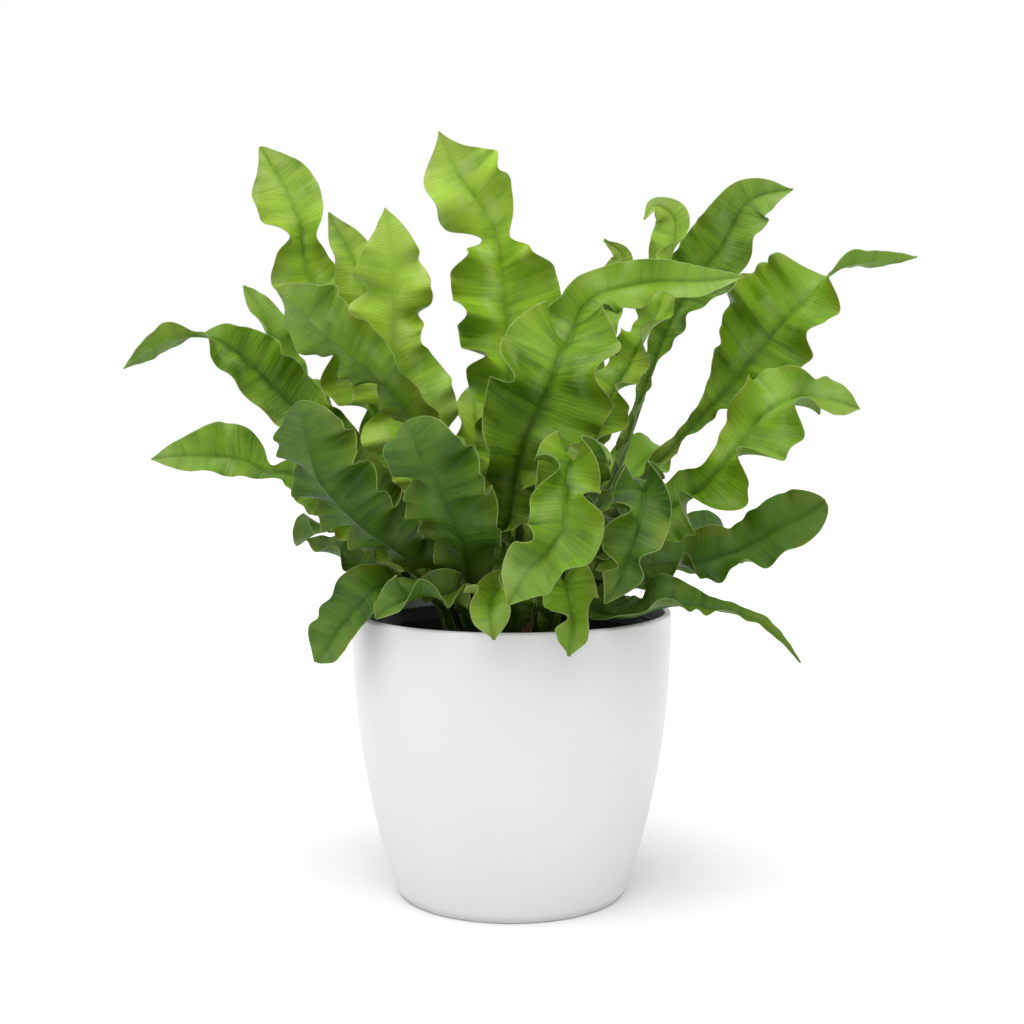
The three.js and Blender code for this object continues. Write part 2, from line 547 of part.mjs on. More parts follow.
// A point of the blade's middle surface. v runs from -1 at the left margin to 1 at the right.
function bladePoint(spec, rib, u, v) {
  const { stem = 0.03, calm = 0.65, cup = [18, 18] } = spec;
  const { degToRad, clamp } = THREE.MathUtils;
  const { point, along, up, across } = rib(u);
  const side = v > 0 ? 1 : 0;
  const out = Math.abs(v);
  const reach = halfWidth(spec, u, side) * out;
  const own = WAVE.own[0] * spec.phase[0] + WAVE.own[1] * spec.phase[1] + WAVE.own[2] * side;
  const stray = WAVE.stray * Math.sin(TURN * (WAVE.strayRate * u + own));
  const way = clamp((u - stem) / (1 - stem), 0, 1) ** WAVE.stretch;
  const turn = TURN * (spec.waves[side] * way + spec.phase[side] + stray);
  const [near, far] = spec.swing;
  const [from, to] = WAVE.grow;
  const quiet = 1 - calm * smooth((u - WAVE.calmFrom) / (1 - WAVE.calmFrom));
  const swing = degToRad(near + (far - near) * smooth((u - from) / (to - from))) * quiet
    * smooth(u / WAVE.begin);
  const height = 1 + WAVE.uneven * Math.sin(TURN * (WAVE.unevenRate * u + 2 * own));
  const wave = Math.expm1(WAVE.lopsided * Math.sin(turn)) / Math.expm1(WAVE.lopsided);
  const tilt = degToRad(cup[side]) * smooth(u / WAVE.cupFrom)
    + swing * height * wave * (WAVE.atMidrib + (1 - WAVE.atMidrib) * out);
  const bunch = WAVE.bunch * swing * out * Math.sin(2 * turn);
  return point
    .addScaledVector(across, Math.sign(v) * reach * Math.cos(tilt) * Math.cos(BLADE.veinSweep))
    .addScaledVector(up, reach * Math.sin(tilt))
    .addScaledVector(along, reach * (Math.sin(BLADE.veinSweep) - bunch));
}

function bladeNormal(spec, rib, u, v) {
  const back = bladePoint(spec, rib, Math.max(u - SLOPE_STEP, 0), v);
  const ahead = bladePoint(spec, rib, Math.min(u + SLOPE_STEP, 1), v);
  const left = bladePoint(spec, rib, u, Math.max(v - SLOPE_STEP_ACROSS, -1));
  const right = bladePoint(spec, rib, u, Math.min(v + SLOPE_STEP_ACROSS, 1));
  return right.sub(left).cross(ahead.sub(back)).normalize();
}

// Rows of the blade, closer where the waves are closer.
function rowPlaces(spec) {
  const { stem = 0.03 } = spec;
  const count = Math.round(Math.max(...spec.waves) * BLADE.rowsPerWave);
  const places = [0];
  for (let i = 1; i <= count; i += 1) {
    places.push(stem + (1 - stem) * (i / count) ** (1 / WAVE.stretch));
  }
  return places;
}

// One frond is one closed body: an upper and a lower face, split into triangles alike.
function frondGeometry(spec) {
  const rib = makeRib(spec);
  const upper = [];
  const lower = [];
  for (const u of rowPlaces(spec)) {
    for (const v of [-1, 0, 1]) {
      const middle = bladePoint(spec, rib, u, v);
      const normal = bladeNormal(spec, rib, u, v);
      const ribDepth = BLADE.ribAtRoot + (BLADE.ribAtTip - BLADE.ribAtRoot) * u;
      const depth = v === 0 ? ribDepth : BLADE.skin;
      upper.push(middle.clone().addScaledVector(normal, BLADE.skin / 2));
      lower.push(middle.clone().addScaledVector(normal, BLADE.skin / 2 - depth));
    }
  }
  const rows = upper.length / 3;
  const index = [];
  const face = (a, b, c, d) => index.push(a, b, c, a, c, d);
  const under = upper.length;
  for (let i = 0; i + 1 < rows; i += 1) {
    const here = 3 * i;
    const next = here + 3;
    // left half, right half: the diagonals mirror each other across the midrib
    index.push(here, here + 1, next + 1, here, next + 1, next);
    index.push(under + here, under + next + 1, under + here + 1);
    index.push(under + here, under + next, under + next + 1);
    index.push(here + 1, here + 2, next + 1, here + 2, next + 2, next + 1);
    index.push(under + here + 1, under + next + 1, under + here + 2);
    index.push(under + here + 2, under + next + 1, under + next + 2);
    face(here, next, under + next, under + here);
    face(here + 2, under + here + 2, under + next + 2, next + 2);
  }
  const last = 3 * (rows - 1);
  for (const j of [0, 1]) {
    face(j, under + j, under + j + 1, j + 1);
    face(last + j, last + j + 1, under + last + j + 1, under + last + j);
  }
  const geometry = new THREE.BufferGeometry().setFromPoints([...upper, ...lower]);
  geometry.setIndex(index);
  geometry.computeVertexNormals();
  return geometry;
}

// The crown has a plain hole for each stipe, set along the stipe's first stretch.
function crown() {
  let body = toSolid(turned(crownProfile(0), CROWN.sides));
  for (const spec of FRONDS) {
    const { point, along, up } = makeRib(spec)(0);
    const { radius, length, sides } = STIPE_HOLE;
    const hole = new THREE.CylinderGeometry(radius, radius, length, sides);
    hole.translate(0, length / 2 - GAP, 0);
    hole.applyQuaternion(new THREE.Quaternion().setFromUnitVectors(new THREE.Vector3(0, 1, 0), along));
    point.addScaledVector(up, (BLADE.skin - BLADE.ribAtRoot) / 2);
    hole.translate(point.x, point.y, point.z);
    body = body.subtract(toSolid(hole));
  }
  return toGeometry(body);
}

// ---------------------------------------------------------------- the whole plant

const group = new THREE.Group();
group.add(piece('pot', coverPot(), FINISH.pot));
group.add(piece('nursery_pot', nurseryPot(), FINISH.nursery));
group.add(piece('soil', soil(), FINISH.soil));
group.add(piece('crown', crown(), FINISH.crown));
FRONDS.forEach((spec) => {
  const [x, y] = spec.path[0];
  const inner = 1 - Math.hypot(x, y) / CROWN.radius;
  const colour = new THREE.Color(OUTER_FROND).lerp(new THREE.Color(INNER_FROND), inner);
  group.add(piece(`frond_${spec.name}`, frondGeometry(spec), [colour, FROND_ROUGHNESS]));
});

export default group;
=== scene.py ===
import math
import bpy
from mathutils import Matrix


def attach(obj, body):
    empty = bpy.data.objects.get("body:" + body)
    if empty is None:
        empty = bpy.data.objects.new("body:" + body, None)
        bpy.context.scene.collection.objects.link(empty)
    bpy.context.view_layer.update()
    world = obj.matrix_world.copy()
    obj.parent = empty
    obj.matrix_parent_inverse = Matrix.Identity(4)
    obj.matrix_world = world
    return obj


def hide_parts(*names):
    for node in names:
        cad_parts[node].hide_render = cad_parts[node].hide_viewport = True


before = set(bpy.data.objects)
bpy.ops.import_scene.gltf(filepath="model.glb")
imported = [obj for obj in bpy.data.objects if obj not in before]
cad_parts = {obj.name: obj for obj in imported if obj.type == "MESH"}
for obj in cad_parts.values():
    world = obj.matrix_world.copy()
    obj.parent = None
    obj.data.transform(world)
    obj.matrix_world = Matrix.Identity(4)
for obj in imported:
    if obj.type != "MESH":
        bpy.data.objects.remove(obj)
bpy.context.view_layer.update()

from types import SimpleNamespace as Values

import bpy
import numpy as np
from mathutils import Vector

MM = 0.001
TURN = 2 * math.pi
SEEDS = Values(tones=21, crumbs=11, scales=5)

# ---------- sizes, in millimetres

POT = Values(
    height=125.0, rim_radius=70.0, wall=3.0, floor=3.0,
    foot_inset=19.7,     # how much narrower the foot is than the rim
    lean=2.2,            # over 1: upright at the rim and leaning in towards the foot
    foot_round=1.5,
    foot_ring=6.0,       # width of the ring that it stands on
    foot_slope=1.0,
    hollow=0.8,          # height of the hollow inside that ring
    corner=2.0,          # slope between the inner wall and the floor
    sides=192, outer_rings=48, inner_rings=40,
)
NURSERY = Values(
    base=3.3, rim_height=119.0, rim_radius=64.0, base_radius=44.0, wall=1.2,
    lip_width=2.0, lip_height=6.0,
    bevel=1.0,           # at the foot
    corner=0.1,          # between the inner wall and the floor
    under_lip=(0.4, 0.1, 0.6, 2.2),  # bevel, then heights of its foot, outside and inside
    ribs=24, rib_depth=0.5, rib_sharpness=3,
    ribs_grow=(8.0, 18.0),   # heights between which the ribs grow
    ribs_fade=(14.0, 6.0),   # and fade, below the lip
    sides=144, outer_rings=24, inner_rings=12,
)
WALL_TOP = NURSERY.rim_height - NURSERY.lip_height
WALL_SLOPE = NURSERY.rim_radius - NURSERY.lip_width - NURSERY.base_radius
WALL_SLOPE /= WALL_TOP - NURSERY.base

SOIL = Values(
    height=105.5,
    play=(0.3, 0.6, 0.2),    # room to the inner pot's floor, foot and wall
    shoulder=2.0,
    dip=0.8,             # how far the uneven top lies below the soil's height
    lump=0.8,
    lumps=((3, 14.0, 0.8), (4, 4.0, 0.6)),   # seed, length and share of a pattern
    edge_fade=4.0,       # the lumps fade out this near to the wall
    flat_middle=3.0,
    sides=160, top_rings=44,
)
CRUMB = Values(count=900, from_middle=0.15, from_edge=1.5, size=(0.8, 3.4), depth=(0.4, 1.0),
             height=(0.4, 0.8), chipped=(0.45, 1.0), sunk=0.6)
CROWN = Values(
    radius=31.0, shoulder=106.0, top=115.0, bottom=90.0, bottom_radius=22.0,
    dome=2.2, bevel=1.0,
    under_scales=1.0,    # depth of the body below the scales' feet
    lobes=7, lobe=0.03,  # lobes round the side, as a share of the radius
    folds=5, fold=0.5, fold_twist=0.6,
    sides=72, rings=12,
)
SCALE = Values(
    count=420, height=(3.0, 8.0), half_width=(0.5, 1.1), half_thickness=0.16, lean=0.25, root=2.0,
    shape=((0, 1), (0.45, 0.9), (0.8, 0.45)),    # place up the scale and share of its width
)

BLADE = Values(
    skin=0.5,            # thickness by the midrib
    edge_skin=0.28,      # thickness at the margin
    thin_edge=6.0,       # how far from the margin it starts to thin
    rib_root=2.2,        # thickness over the midrib at the root
    rib_tip=0.6,
    rib_half_root=1.35,  # half the width of the midrib
    rib_half_tip=0.45,
    groove=0.35,         # depth of the groove along the upper side of the midrib
    groove_half=0.7,
    groove_grows=(0.08, 0.28),
    stem_half=2.4,       # half the width of the stipe at the root
    stem_half_out=0.8,   # and further out, where the blade takes over
    stipe_ends=(0.1, 0.4),
    tip_half=0.2,
    neck_length=0.03,
    rise_bend=0.75,
    vein_sweep=math.radians(12),
)
WAVE = Values(
    stretch=0.7,         # under 1: the waves are closer at the root
    begin=0.18, grow=(0.15, 0.7), calm_from=0.8, cup_from=0.3,
    at_midrib=0.55,      # share of the tilt that is there at the midrib already
    bunch=0.04,          # how far a wave's flanks draw together along the frond
    stray=0.22, stray_rate=1.6,      # how far a wave leaves its even place, and how often
    uneven=0.22, uneven_rate=2.3, uneven_shift=2,    # how much the waves differ in height
    own=(3.1, 1.7, 0.37),    # makes each half of each frond differ
    lopsided=1.2,
)
RIPPLE = Values(swing=math.radians(6), per_wave=2.6, shift=5, frill=0.15, frill_length=7.0)
ROW_LENGTH = 0.9         # distance between two rows of a blade
COLUMNS = 13             # columns of one half of a blade
COLUMN_PULL = 0.11       # how far they draw to the midrib and the margin
LOOK_UP = 0.25
SLOPE_STEP = 0.004
TINY = 1e-9

# ---------- colours, light and camera

# a leaf's dark and light green, its veins and the pale colour of its painted sheen, by slot
LEAF_COLOURS = dict(
    frond_young=[(0.070, 0.185, 0.0022), (0.235, 0.395, 0.018), (0.325, 0.45, 0.042),
                 (0.40, 0.49, 0.19)],
    frond=[(0.0276, 0.0788, 0.00144), (0.103, 0.217, 0.0048), (0.166, 0.285, 0.0144),
           (0.25, 0.335, 0.11)],
    frond_old=[(0.0084, 0.031, 0.0011), (0.045, 0.114, 0.0034), (0.080, 0.163, 0.0085),
               (0.092, 0.155, 0.045)],
)
LEAF_NAMES = dict(frond_young="young_and_lit_leaf", frond="leaf", frond_old="old_and_shaded_leaf")
UNDERSIDE = (0.040, 0.096, 0.006)
OLIVE = (0.13, 0.14, 0.008)
# the midrib's own dark green, also used for the painted shade in and beside its crease
MIDRIB_AND_CREASE_SHADE = (0.024, 0.056, 0.0032)
STIPE = (0.020, 0.022, 0.008)
MARGIN = (0.22, 0.28, 0.10)
POT_WHITE = (0.545, 0.545, 0.547)
POT_WHITE_WARM = (0.565, 0.565, 0.563)
NURSERY_BLACK = (0.010, 0.010, 0.011)
NURSERY_DUST = (0.045, 0.038, 0.030)
PEAT_DARK = (0.012, 0.008, 0.005)
PEAT_LIGHT = (0.055, 0.034, 0.020)
PEAT_FIBRE = (0.10, 0.065, 0.035)
CROWN_DARK = (0.030, 0.017, 0.008)
CROWN_LIGHT = (0.16, 0.095, 0.040)
FLOOR_WHITE = (0.72, 0.72, 0.72)
FLOOR_WHITE_COOL = (0.71, 0.715, 0.72)

# how strong each thing is in a leaf's colour, as a share, and where it lies, in millimetres or
# as a share of the frond's length
LEAF = Values(
    # how much lighter the tip is than the root: partly the leaf's own colour, partly painted shade
    # near the crown
    shine=0.14, ripening=0.62, tone=0.35, cloud=0.22, band=0.2,
    olive=0.5, olive_reach=9.0,
    vein_spacing=1.35, vein_waver=1.1, vein_start=(0.6, 2.2), lines=(0.15, 0.5), streaks=0.6,
    grain=0.45, veins=0.38, underside=0.12,
    # painted sheen: how strong the pale colour is in patches and towards the tip
    bloom=0.3, tip_bloom=0.2, tip=0.75,
    # the midrib's dark line, partly its own colour and partly painted crease shade, and the wider
    # band of painted shade beside it
    midrib=0.6, midrib_half=(0.2, 0.75), halo=0.45, halo_half=(0.4, 4.5), rib_fades=(0.35, 0.95),
    rib_left=0.12, stipe=0.85, stipe_ends=(0.03, 0.22), margin=0.5, margin_width=(0.03, 0.4),
    cloud_height=0.6, fine_height=0.35, fine_scale=900.0, bump=0.16, bump_strength=0.7,
    roughness=(0.36, 0.46), vein_roughness=0.08,
)
# a leaf's patterns: how fast they change along and across the blade, detail and roughness
LEAF_PATTERNS = dict(
    cloud=(0.045, 0.05, 3.0, 0.5),
    band=(0.22, 0.03, 2.0, 0.5),
    waver=(0.25, 0.12, 2.0, 0.5),
    streak=(0.75, 0.035, 2.5, 0.6),
    grain=(2.6, 0.4, 2.0, 0.7),
    patch=(0.07, 0.09, 2.0, 0.5),
)
PATTERN_SHIFTS = Values(tone=40.0, patch=7.0)     # so that no two fronds or patterns look alike

FLOOR_HALF = 6000.0
ROOM_LIGHT = 1.0
# name, where it comes from, strength and how wide it looks, in degrees
LIGHTS = [
    ("top_light", (-0.08, -0.28, 1.0), 5.2, 90),
    ("left_light", (-1.0, -0.15, 0.3), 0.4, 50),
    ("right_light", (1.0, -0.15, 0.3), 0.45, 50),
]
ROOM_HEIGHTS = (0.24, 0.50)  # the room is white up to the first, and dim above the second
ROOM_DIM = 0.18
# place in metres, pitch in radians, lens and sensor in millimetres, shift of half a pixel
CAMERA = Values(place=(0, -0.7, 0.225), pitch_down=0.082, lens=56.46, sensor=36.0,
              shift_x=0.5 / 1024)

# The upright inner fronds take the lighter young green and the low outer ones the darker old green:
# partly their age, and partly painted light on the upper fronds and painted shade on the low ones.
YOUNG_AND_LIT = {"tall", "inner_left", "upright_left", "inner_right", "inner_back", "back_upright",
         "left_tall"}
OLD_AND_SHADED = {"front_left", "front_centre", "left_low_back", "right_short", "front_low", "front_right",
       "left_drooping", "right_drooping", "back_low", "right_low", "right_low_back",
       "back_left_low", "back_right_low", "back_centre"}

# how light some fronds are, from 0 to 1; the others are left to chance
TONE = {"front_arching": 0.0, "front_left": 0.1, "front_centre": 0.1, "left_tall": 0.0,
        "tall": 0.6, "left": 0.2, "front_small": 0.1, "left_drooping": 0.3, "right_low": 1.0,
        "right_drooping": 0.8}

# ---------- the fronds, as in the solids
# path: the midrib from root to tip. faces: where the blade's upper side looks, evenly spaced
# after the root, where it looks at the middle of the plant. width: margin to margin when flat.
# left, right: used instead of a width, how wide that half is at even places. waves, phase and
# cup, for the left and right halves: how many waves, where they start, how far the half is
# tilted up. swing: how far the waves tilt the side veins near the root and further out, in
# degrees. rise: where the blade is at its full width. taper, blunt, edge: where the tip starts
# and how it closes. calm: how much of the waves the tip loses. necks: [place, kept width].
# For most fronds the path was picked as pixels of the photograph with guessed depths, and a
# scratch program turned it into these millimetres through the camera above.

PLAIN = dict(rise=0.5, stem=0.03, taper=0.72, blunt=1.9, edge=0.9, calm=0.65, cup=(18, 18),
             swing=(50, 28), phase=(0, 0.1))
GIVEN = dict(PLAIN, taper=0.9, blunt=2, edge=0.6)    # where left and right are given

FRONDS = dict(
  tall=dict(waves=[10, 10], swing=[42, 40], phase=[0.1, 0.45], taper=0.86, blunt=1.5, edge=1,
    calm=0.8, cup=[10, 10], necks=[[0.77, 0.35]],
    left=[2.4, 3, 8, 12, 15, 20, 23, 23, 19, 23, 12],
    right=[2.4, 3, 8, 12, 16, 21, 26, 24, 16, 23, 12],
    path=[[1, 5.9, 107], [-4, 12, 154], [-2, 22, 198], [-1, 26, 229], [-2, 27, 250], [-5, 28, 274],
    [-7, 28, 290], [-13, 26, 301], [-24, 22, 316], [-32, 18, 334]], faces=[[0, -1, 0]]),
  left_tall=dict(waves=[9, 9], swing=[50, 46], phase=[0.3, 0.6],
    left=[2.4, 3, 8, 11, 13, 15, 18, 20, 17, 18, 8],
    right=[2.4, 3, 8, 11, 13, 15, 16, 16, 10, 15, 7],
    path=[[-10.7, 9, 107], [-25, 20, 144], [-51, 34, 191], [-77, 44, 234], [-89, 46, 263],
    [-95, 46, 279], [-97, 44, 296], [-104, 42, 313], [-114, 38, 330]], faces=[[0.4, -1, 0.2]]),
  left_behind=dict(width=32, waves=[7, 7], rise=0.7,
    path=[[-17.3, 10, 107], [-33, 32, 143], [-67, 56, 183], [-102, 74, 215], [-115, 82, 239],
    [-121, 86, 257], [-131, 92, 271]], faces=[[0.8, -0.3, 0.5], [0.8, -0.3, 0.5],
    [0.3, -0.8, 0.3]]),
  far_left=dict(waves=[8, 8], swing=[42, 24], phase=[0, 0.3], taper=0.95, necks=[[0.84, 0.25]],
    left=[2.4, 3, 7, 10, 12, 13, 12, 12, 14, 8, 1], right=[2.4, 3, 7, 10, 12, 14, 15, 17, 9, 9, 1],
    path=[[-13.5, 3.6, 107], [-32, 8, 143], [-62, 12, 176], [-89, 14, 205], [-106, 12, 222],
    [-121, 8, 237], [-134, 4, 244], [-150, -2, 241], [-166, -10, 230]], faces=[[0.5, -0.9, 0.5],
    [0.5, -0.9, 0.5], [0.4, -0.9, 0.4], [0.3, -1, 0.4], [0.2, -1, 0.3], [0.1, -1, 0.3],
    [0, 0.6, 0.8], [0, 0.9, 0.6]]),
  left=dict(waves=[7, 7], swing=[32, 12], taper=0.95, calm=0.9, cup=[10, 10], necks=[[0.69, 0.4]],
    left=[2.4, 3, 6, 9, 11, 12, 9, 7, 9, 7.5, 1], right=[2.4, 3, 6, 9, 11, 12, 9, 8, 16, 9, 1],
    path=[[-21.9, -1.9, 107], [-33, -4, 134], [-57, -8, 152], [-78, -12, 170], [-93, -14, 184],
    [-104, -16, 186], [-115, -18, 191], [-132, -22, 193], [-151, -28, 192]], faces=[[0.3, -0.5, 1],
    [0.1, -0.8, 0.6], [0, -1, 0.2]]),
  front_left=dict(waves=[8, 9], swing=[50, 26], phase=[0.2, 0.55], calm=0.85, cup=[12, 12],
    left=[2.4, 3, 7, 12, 17, 21, 23, 22, 21, 18, 9],
    right=[2.4, 3, 6, 9, 13, 17, 19, 19, 19, 17, 10],
    path=[[-13.1, -9.2, 107], [-27, -24, 141], [-46, -38, 154], [-61, -48, 166], [-71, -56, 177],
    [-77, -61, 186], [-80, -65, 197], [-82, -67, 208], [-83, -66, 217]], faces=[[0.5, 0.8, 0.4],
    [0.5, 0.8, 0.4], [0.5, 0.8, 0.4], [0.4, 0.8, 0.1]]),
  front_left_high=dict(waves=[8, 8], swing=[50, 26], phase=[0, 0.3], taper=0.86, cup=[12, 12],
    left=[2.4, 3, 7, 9, 10, 11, 11, 12, 17, 18, 9],
    right=[2.4, 3, 7, 9, 10, 11, 11, 13, 17, 18, 9],
    path=[[-8.6, -12.3, 107], [-15, -14, 139], [-27, -22, 174], [-41, -32, 208], [-55, -38, 226],
    [-68, -40, 237], [-80, -40, 247], [-89, -40, 256], [-96, -38, 262]], faces=[[0.4, 0.8, 0.5]]),
  inner_left=dict(waves=[8, 8], swing=[44, 34],
    left=[2.4, 3, 6, 7, 8, 9, 12, 12, 13, 10, 3], right=[2.4, 3, 6, 7, 8, 9, 11, 12, 13, 10, 3],
    path=[[-5, 8.7, 107], [-18, 10, 145], [-36, 12, 185], [-52, 19, 225], [-62, 24, 252],
    [-67, 24, 267], [-73, 24, 283], [-81, 20, 299]], faces=[[0.1, -1, 0.1]]),
  upright_left=dict(waves=[9, 9], swing=[56, 32], phase=[0, 0.4], taper=0.97, cup=[12, 12],
    left=[2.4, 3, 8, 12, 15, 19, 20, 12, 17, 11, 1],
    right=[2.4, 3, 8, 13, 19, 25, 25, 18, 21, 13, 1],
    path=[[-4.2, -4.2, 107], [-16, -6, 149], [-28, -10, 178], [-36, -12, 195], [-42, -13, 210],
    [-46, -13, 225], [-50, -14, 240], [-50, -16, 259], [-50, -18, 279], [-53, -18, 297]],
    faces=[[0.1, 1, 0.3]]),
  front_bending=dict(waves=[9, 9], swing=[46, 26], phase=[0.1, 0.4], taper=0.97, calm=1,
    cup=[20, 20],
    left=[2.4, 3, 6, 11, 19, 26, 21, 12, 11, 8, 1],
    right=[2.4, 3, 6, 11, 20, 28, 22, 14, 14, 11, 1],
    path=[[-1.3, -8.9, 107], [-3, -22, 149], [0, -34, 171], [3, -44, 192], [8, -51, 207],
    [14, -55, 219], [18, -55, 230], [20, -48, 236], [23, -38, 239], [26, -29, 246], [30, -22, 255],
    [37, -19, 261], [48, -19, 264], [62, -20, 266], [80, -22, 266], [97, -24, 268]],
    faces=[[-1, 0.3, 0.2], [-0.6, -0.9, 0.2], [0, -1, 0.2], [0, -1, 0.2], [0, -0.7, 0.8],
    [0.2, -0.8, 0.6], [0, -0.9, 0.5], [0, -0.8, 0.5]]),
  right_high=dict(waves=[10, 10], swing=[50, 16], phase=[0, 0.5], taper=0.95, calm=0.7,
    left=[2.4, 3, 5, 5, 5, 5, 7, 14, 17, 12, 1], right=[2.4, 3, 5, 5, 5, 5, 7, 14, 18, 14, 2],
    path=[[11.8, 9.2, 107], [22, 18, 144], [44, 30, 175], [55, 38, 202], [63, 42, 225],
    [71, 43, 246], [79, 42, 262], [88, 40, 275], [95, 38, 284], [101, 36, 295], [106, 34, 304],
    [114, 31, 308], [126, 28, 310]], faces=[[-0.8, -0.2, 0.5], [-0.9, -0.2, 0.4],
    [-0.9, -0.4, 0.3], [-0.5, -0.9, 0.3], [-0.3, -1, 0.2], [-0.3, -1, 0.2]]),
  far_right=dict(waves=[12, 12], swing=[54, 28], phase=[0, 0.5], taper=0.97, calm=0.9,
    cup=[10, 10], necks=[[0.53, 0.8], [0.85, 0.25]],
    left=[2.4, 3, 5, 5, 4.5, 4.5, 15, 28, 22, 7, 0.5],
    right=[2.4, 3, 5, 5, 4, 4.5, 17, 20, 18, 7, 0.5],
    path=[[17.4, -4.7, 107], [22, -5, 140], [43, -4, 162], [58, -4, 183], [70, -4, 196],
    [82, -4, 209], [93, -5, 221], [107, -8, 238], [121, -12, 255], [137, -14, 271],
    [152, -14, 275], [172, -12, 277]], faces=[[-0.75, 0, 0.6], [-0.75, 0, 0.6], [-0.7, -0.5, 0.6],
    [-0.4, -0.9, 0.3], [-0.3, -1, 0.3], [-0.2, -0.9, 0.5], [0, 0.4, 0.9], [0, 0.9, 0.3]]),
  right=dict(waves=[8, 8], swing=[52, 42], phase=[0, 0.4], taper=0.95, necks=[[0.87, 0.5]],
    left=[2.4, 3, 7, 9, 11, 13, 7, 13, 18, 12, 2],
    right=[2.4, 3, 8, 11, 14, 18, 21, 23, 18, 11, 2],
    path=[[10.7, -9, 107], [27, -20, 139], [46, -32, 154], [63, -42, 170], [75, -48, 179],
    [85, -52, 190], [94, -52, 201], [104, -48, 212], [118, -42, 218], [131, -36, 217],
    [145, -30, 213]], faces=[[-0.4, -0.5, 0.7], [-0.4, -0.8, 0.5], [-0.4, -0.8, 0.5],
    [-0.2, -0.8, 0.5]]),
  right_low=dict(waves=[5, 5], swing=[36, 26], phase=[0, 0.4], taper=0.88, blunt=2.5,
    left=[2.4, 3, 5, 8, 11, 13, 15, 12, 13, 13, 9],
    right=[2.4, 3, 5, 9, 13, 15, 16, 16, 14, 13, 9],
    path=[[24, 0, 107], [30, -6, 134], [45, -10, 140], [61, -12, 145], [77, -12, 146],
    [90, -12, 149], [101, -12, 153], [113, -12, 161], [124, -12, 166], [135, -12, 173]],
    faces=[[-0.1, -0.6, 0.9], [-0.2, -1, 0.3]]),
  right_drooping=dict(waves=[5, 5], swing=[24, 16], phase=[0, 0.3],
    left=[2.4, 3, 5, 10, 14, 15, 12, 6, 4, 3, 1], right=[2.4, 3, 4, 7, 9, 11, 11, 7, 4, 3, 1],
    path=[[21, -13.6, 107], [28, -33, 131], [38, -46, 129], [49, -54, 130], [60, -58, 134],
    [71, -58, 135], [82, -58, 133], [92, -58, 131], [101, -58, 127], [109, -58, 120],
    [117, -58, 111]], faces=[[0, -0.3, 1], [0.1, -0.5, 0.8]]),
  front_drooping=dict(width=23, waves=[6, 6], swing=[50, 46], calm=0.4,
    path=[[13, -22.5, 107], [18, -46, 135], [21, -61, 144], [23, -73, 139], [24, -80, 130],
    [22, -82, 118]], faces=[[0.1, -0.3, 1], [0.1, -0.6, 0.8], [0.3, -1, 0.2]]),
  front_arching=dict(waves=[10, 11], swing=[48, 48], phase=[0, 0.5], calm=0.6,
    left=[2.4, 3, 6, 10, 13, 15, 14, 13, 15, 13, 4],
    right=[2.4, 3, 6, 10, 14, 17, 15, 13, 14, 12, 4],
    path=[[7.5, -13, 107], [19, -32, 150], [24, -54, 171], [26, -72, 186], [24, -86, 194],
    [21, -98, 190], [20, -105, 181], [19, -109, 170], [13, -110, 161], [5, -111, 153],
    [-1, -109, 142]], faces=[[0, -0.4, 0.9], [0, -0.4, 0.9], [-0.1, -0.6, 0.8], [0.2, -0.8, 0.5],
    [-0.2, -1, 0.3]]),
  front_right=dict(waves=[9, 9], swing=[50, 54], phase=[0.3, 0.8], calm=0.4,
    left=[2.4, 3, 4, 6, 9, 12, 12, 11, 12, 9, 2], right=[2.4, 3, 4, 6, 9, 11, 12, 12, 12, 9, 2],
    path=[[13.4, -15.5, 107], [23, -29, 130], [34, -43, 149], [43, -56, 165], [49, -69, 177],
    [51, -81, 183], [50, -91, 178], [46, -98, 166], [41, -101, 152], [35, -101, 141]],
    faces=[[-0.3, -0.5, 0.8], [-0.3, -0.5, 0.8], [0, -0.6, 0.8], [0.3, -0.9, 0.3]]),
  front_small=dict(width=24, waves=[5, 5], swing=[40, 46], calm=0.3,
    path=[[-0.8, -22, 107], [1, -42, 130], [-3, -59, 138], [-7, -73, 140], [-8, -83, 134],
    [-7, -86, 125]], faces=[[0, -0.4, 0.9]]),
  inner_right=dict(waves=[9, 9], swing=[48, 46], phase=[0, 0.5],
    left=[2.4, 3, 5, 7, 11, 13, 11, 12, 11, 9, 2], right=[2.4, 3, 5, 7, 11, 13, 11, 12, 11, 9, 2],
    path=[[7.5, 2.7, 107], [15, 2, 146], [28, -2, 169], [35, -6, 195], [43, -6, 217], [56, 0, 240],
    [64, 6, 255], [68, 10, 269], [71, 14, 284], [71, 14, 296], [63, 12, 301], [58, 10, 295]],
    faces=[[-0.5, -0.8, 0.2], [-0.5, -0.8, 0.2], [-0.8, -0.5, 0.2], [-0.3, -1, 0]]),
  inner_back=dict(width=30, waves=[7, 7], taper=0.6,
    path=[[4.1, 11.3, 107], [8, 24, 144], [19, 38, 179], [27, 50, 216], [37, 57, 248],
    [46, 60, 269], [52, 58, 282], [43, 54, 290]], faces=[[-0.2, -1, 0]]),
  front_centre=dict(waves=[6, 7], swing=[42, 24], phase=[0, 0.5], taper=0.92, calm=1, cup=[8, 8],
    left=[2.4, 3, 6, 9, 12, 16, 19, 20, 20, 17, 8],
    right=[2.4, 3, 6, 10, 14, 18, 20, 19, 17, 15, 8],
    path=[[-11, -19.1, 107], [-18, -43, 145], [-20, -61, 161], [-25, -72, 175], [-30, -79, 186],
    [-35, -83, 195], [-38, -84, 203], [-41, -82, 209]], faces=[[0.3, 0.8, 0.5], [0.3, 0.8, 0.5],
    [0.3, 0.8, 0.5], [0.3, 0.8, 0.1]]),
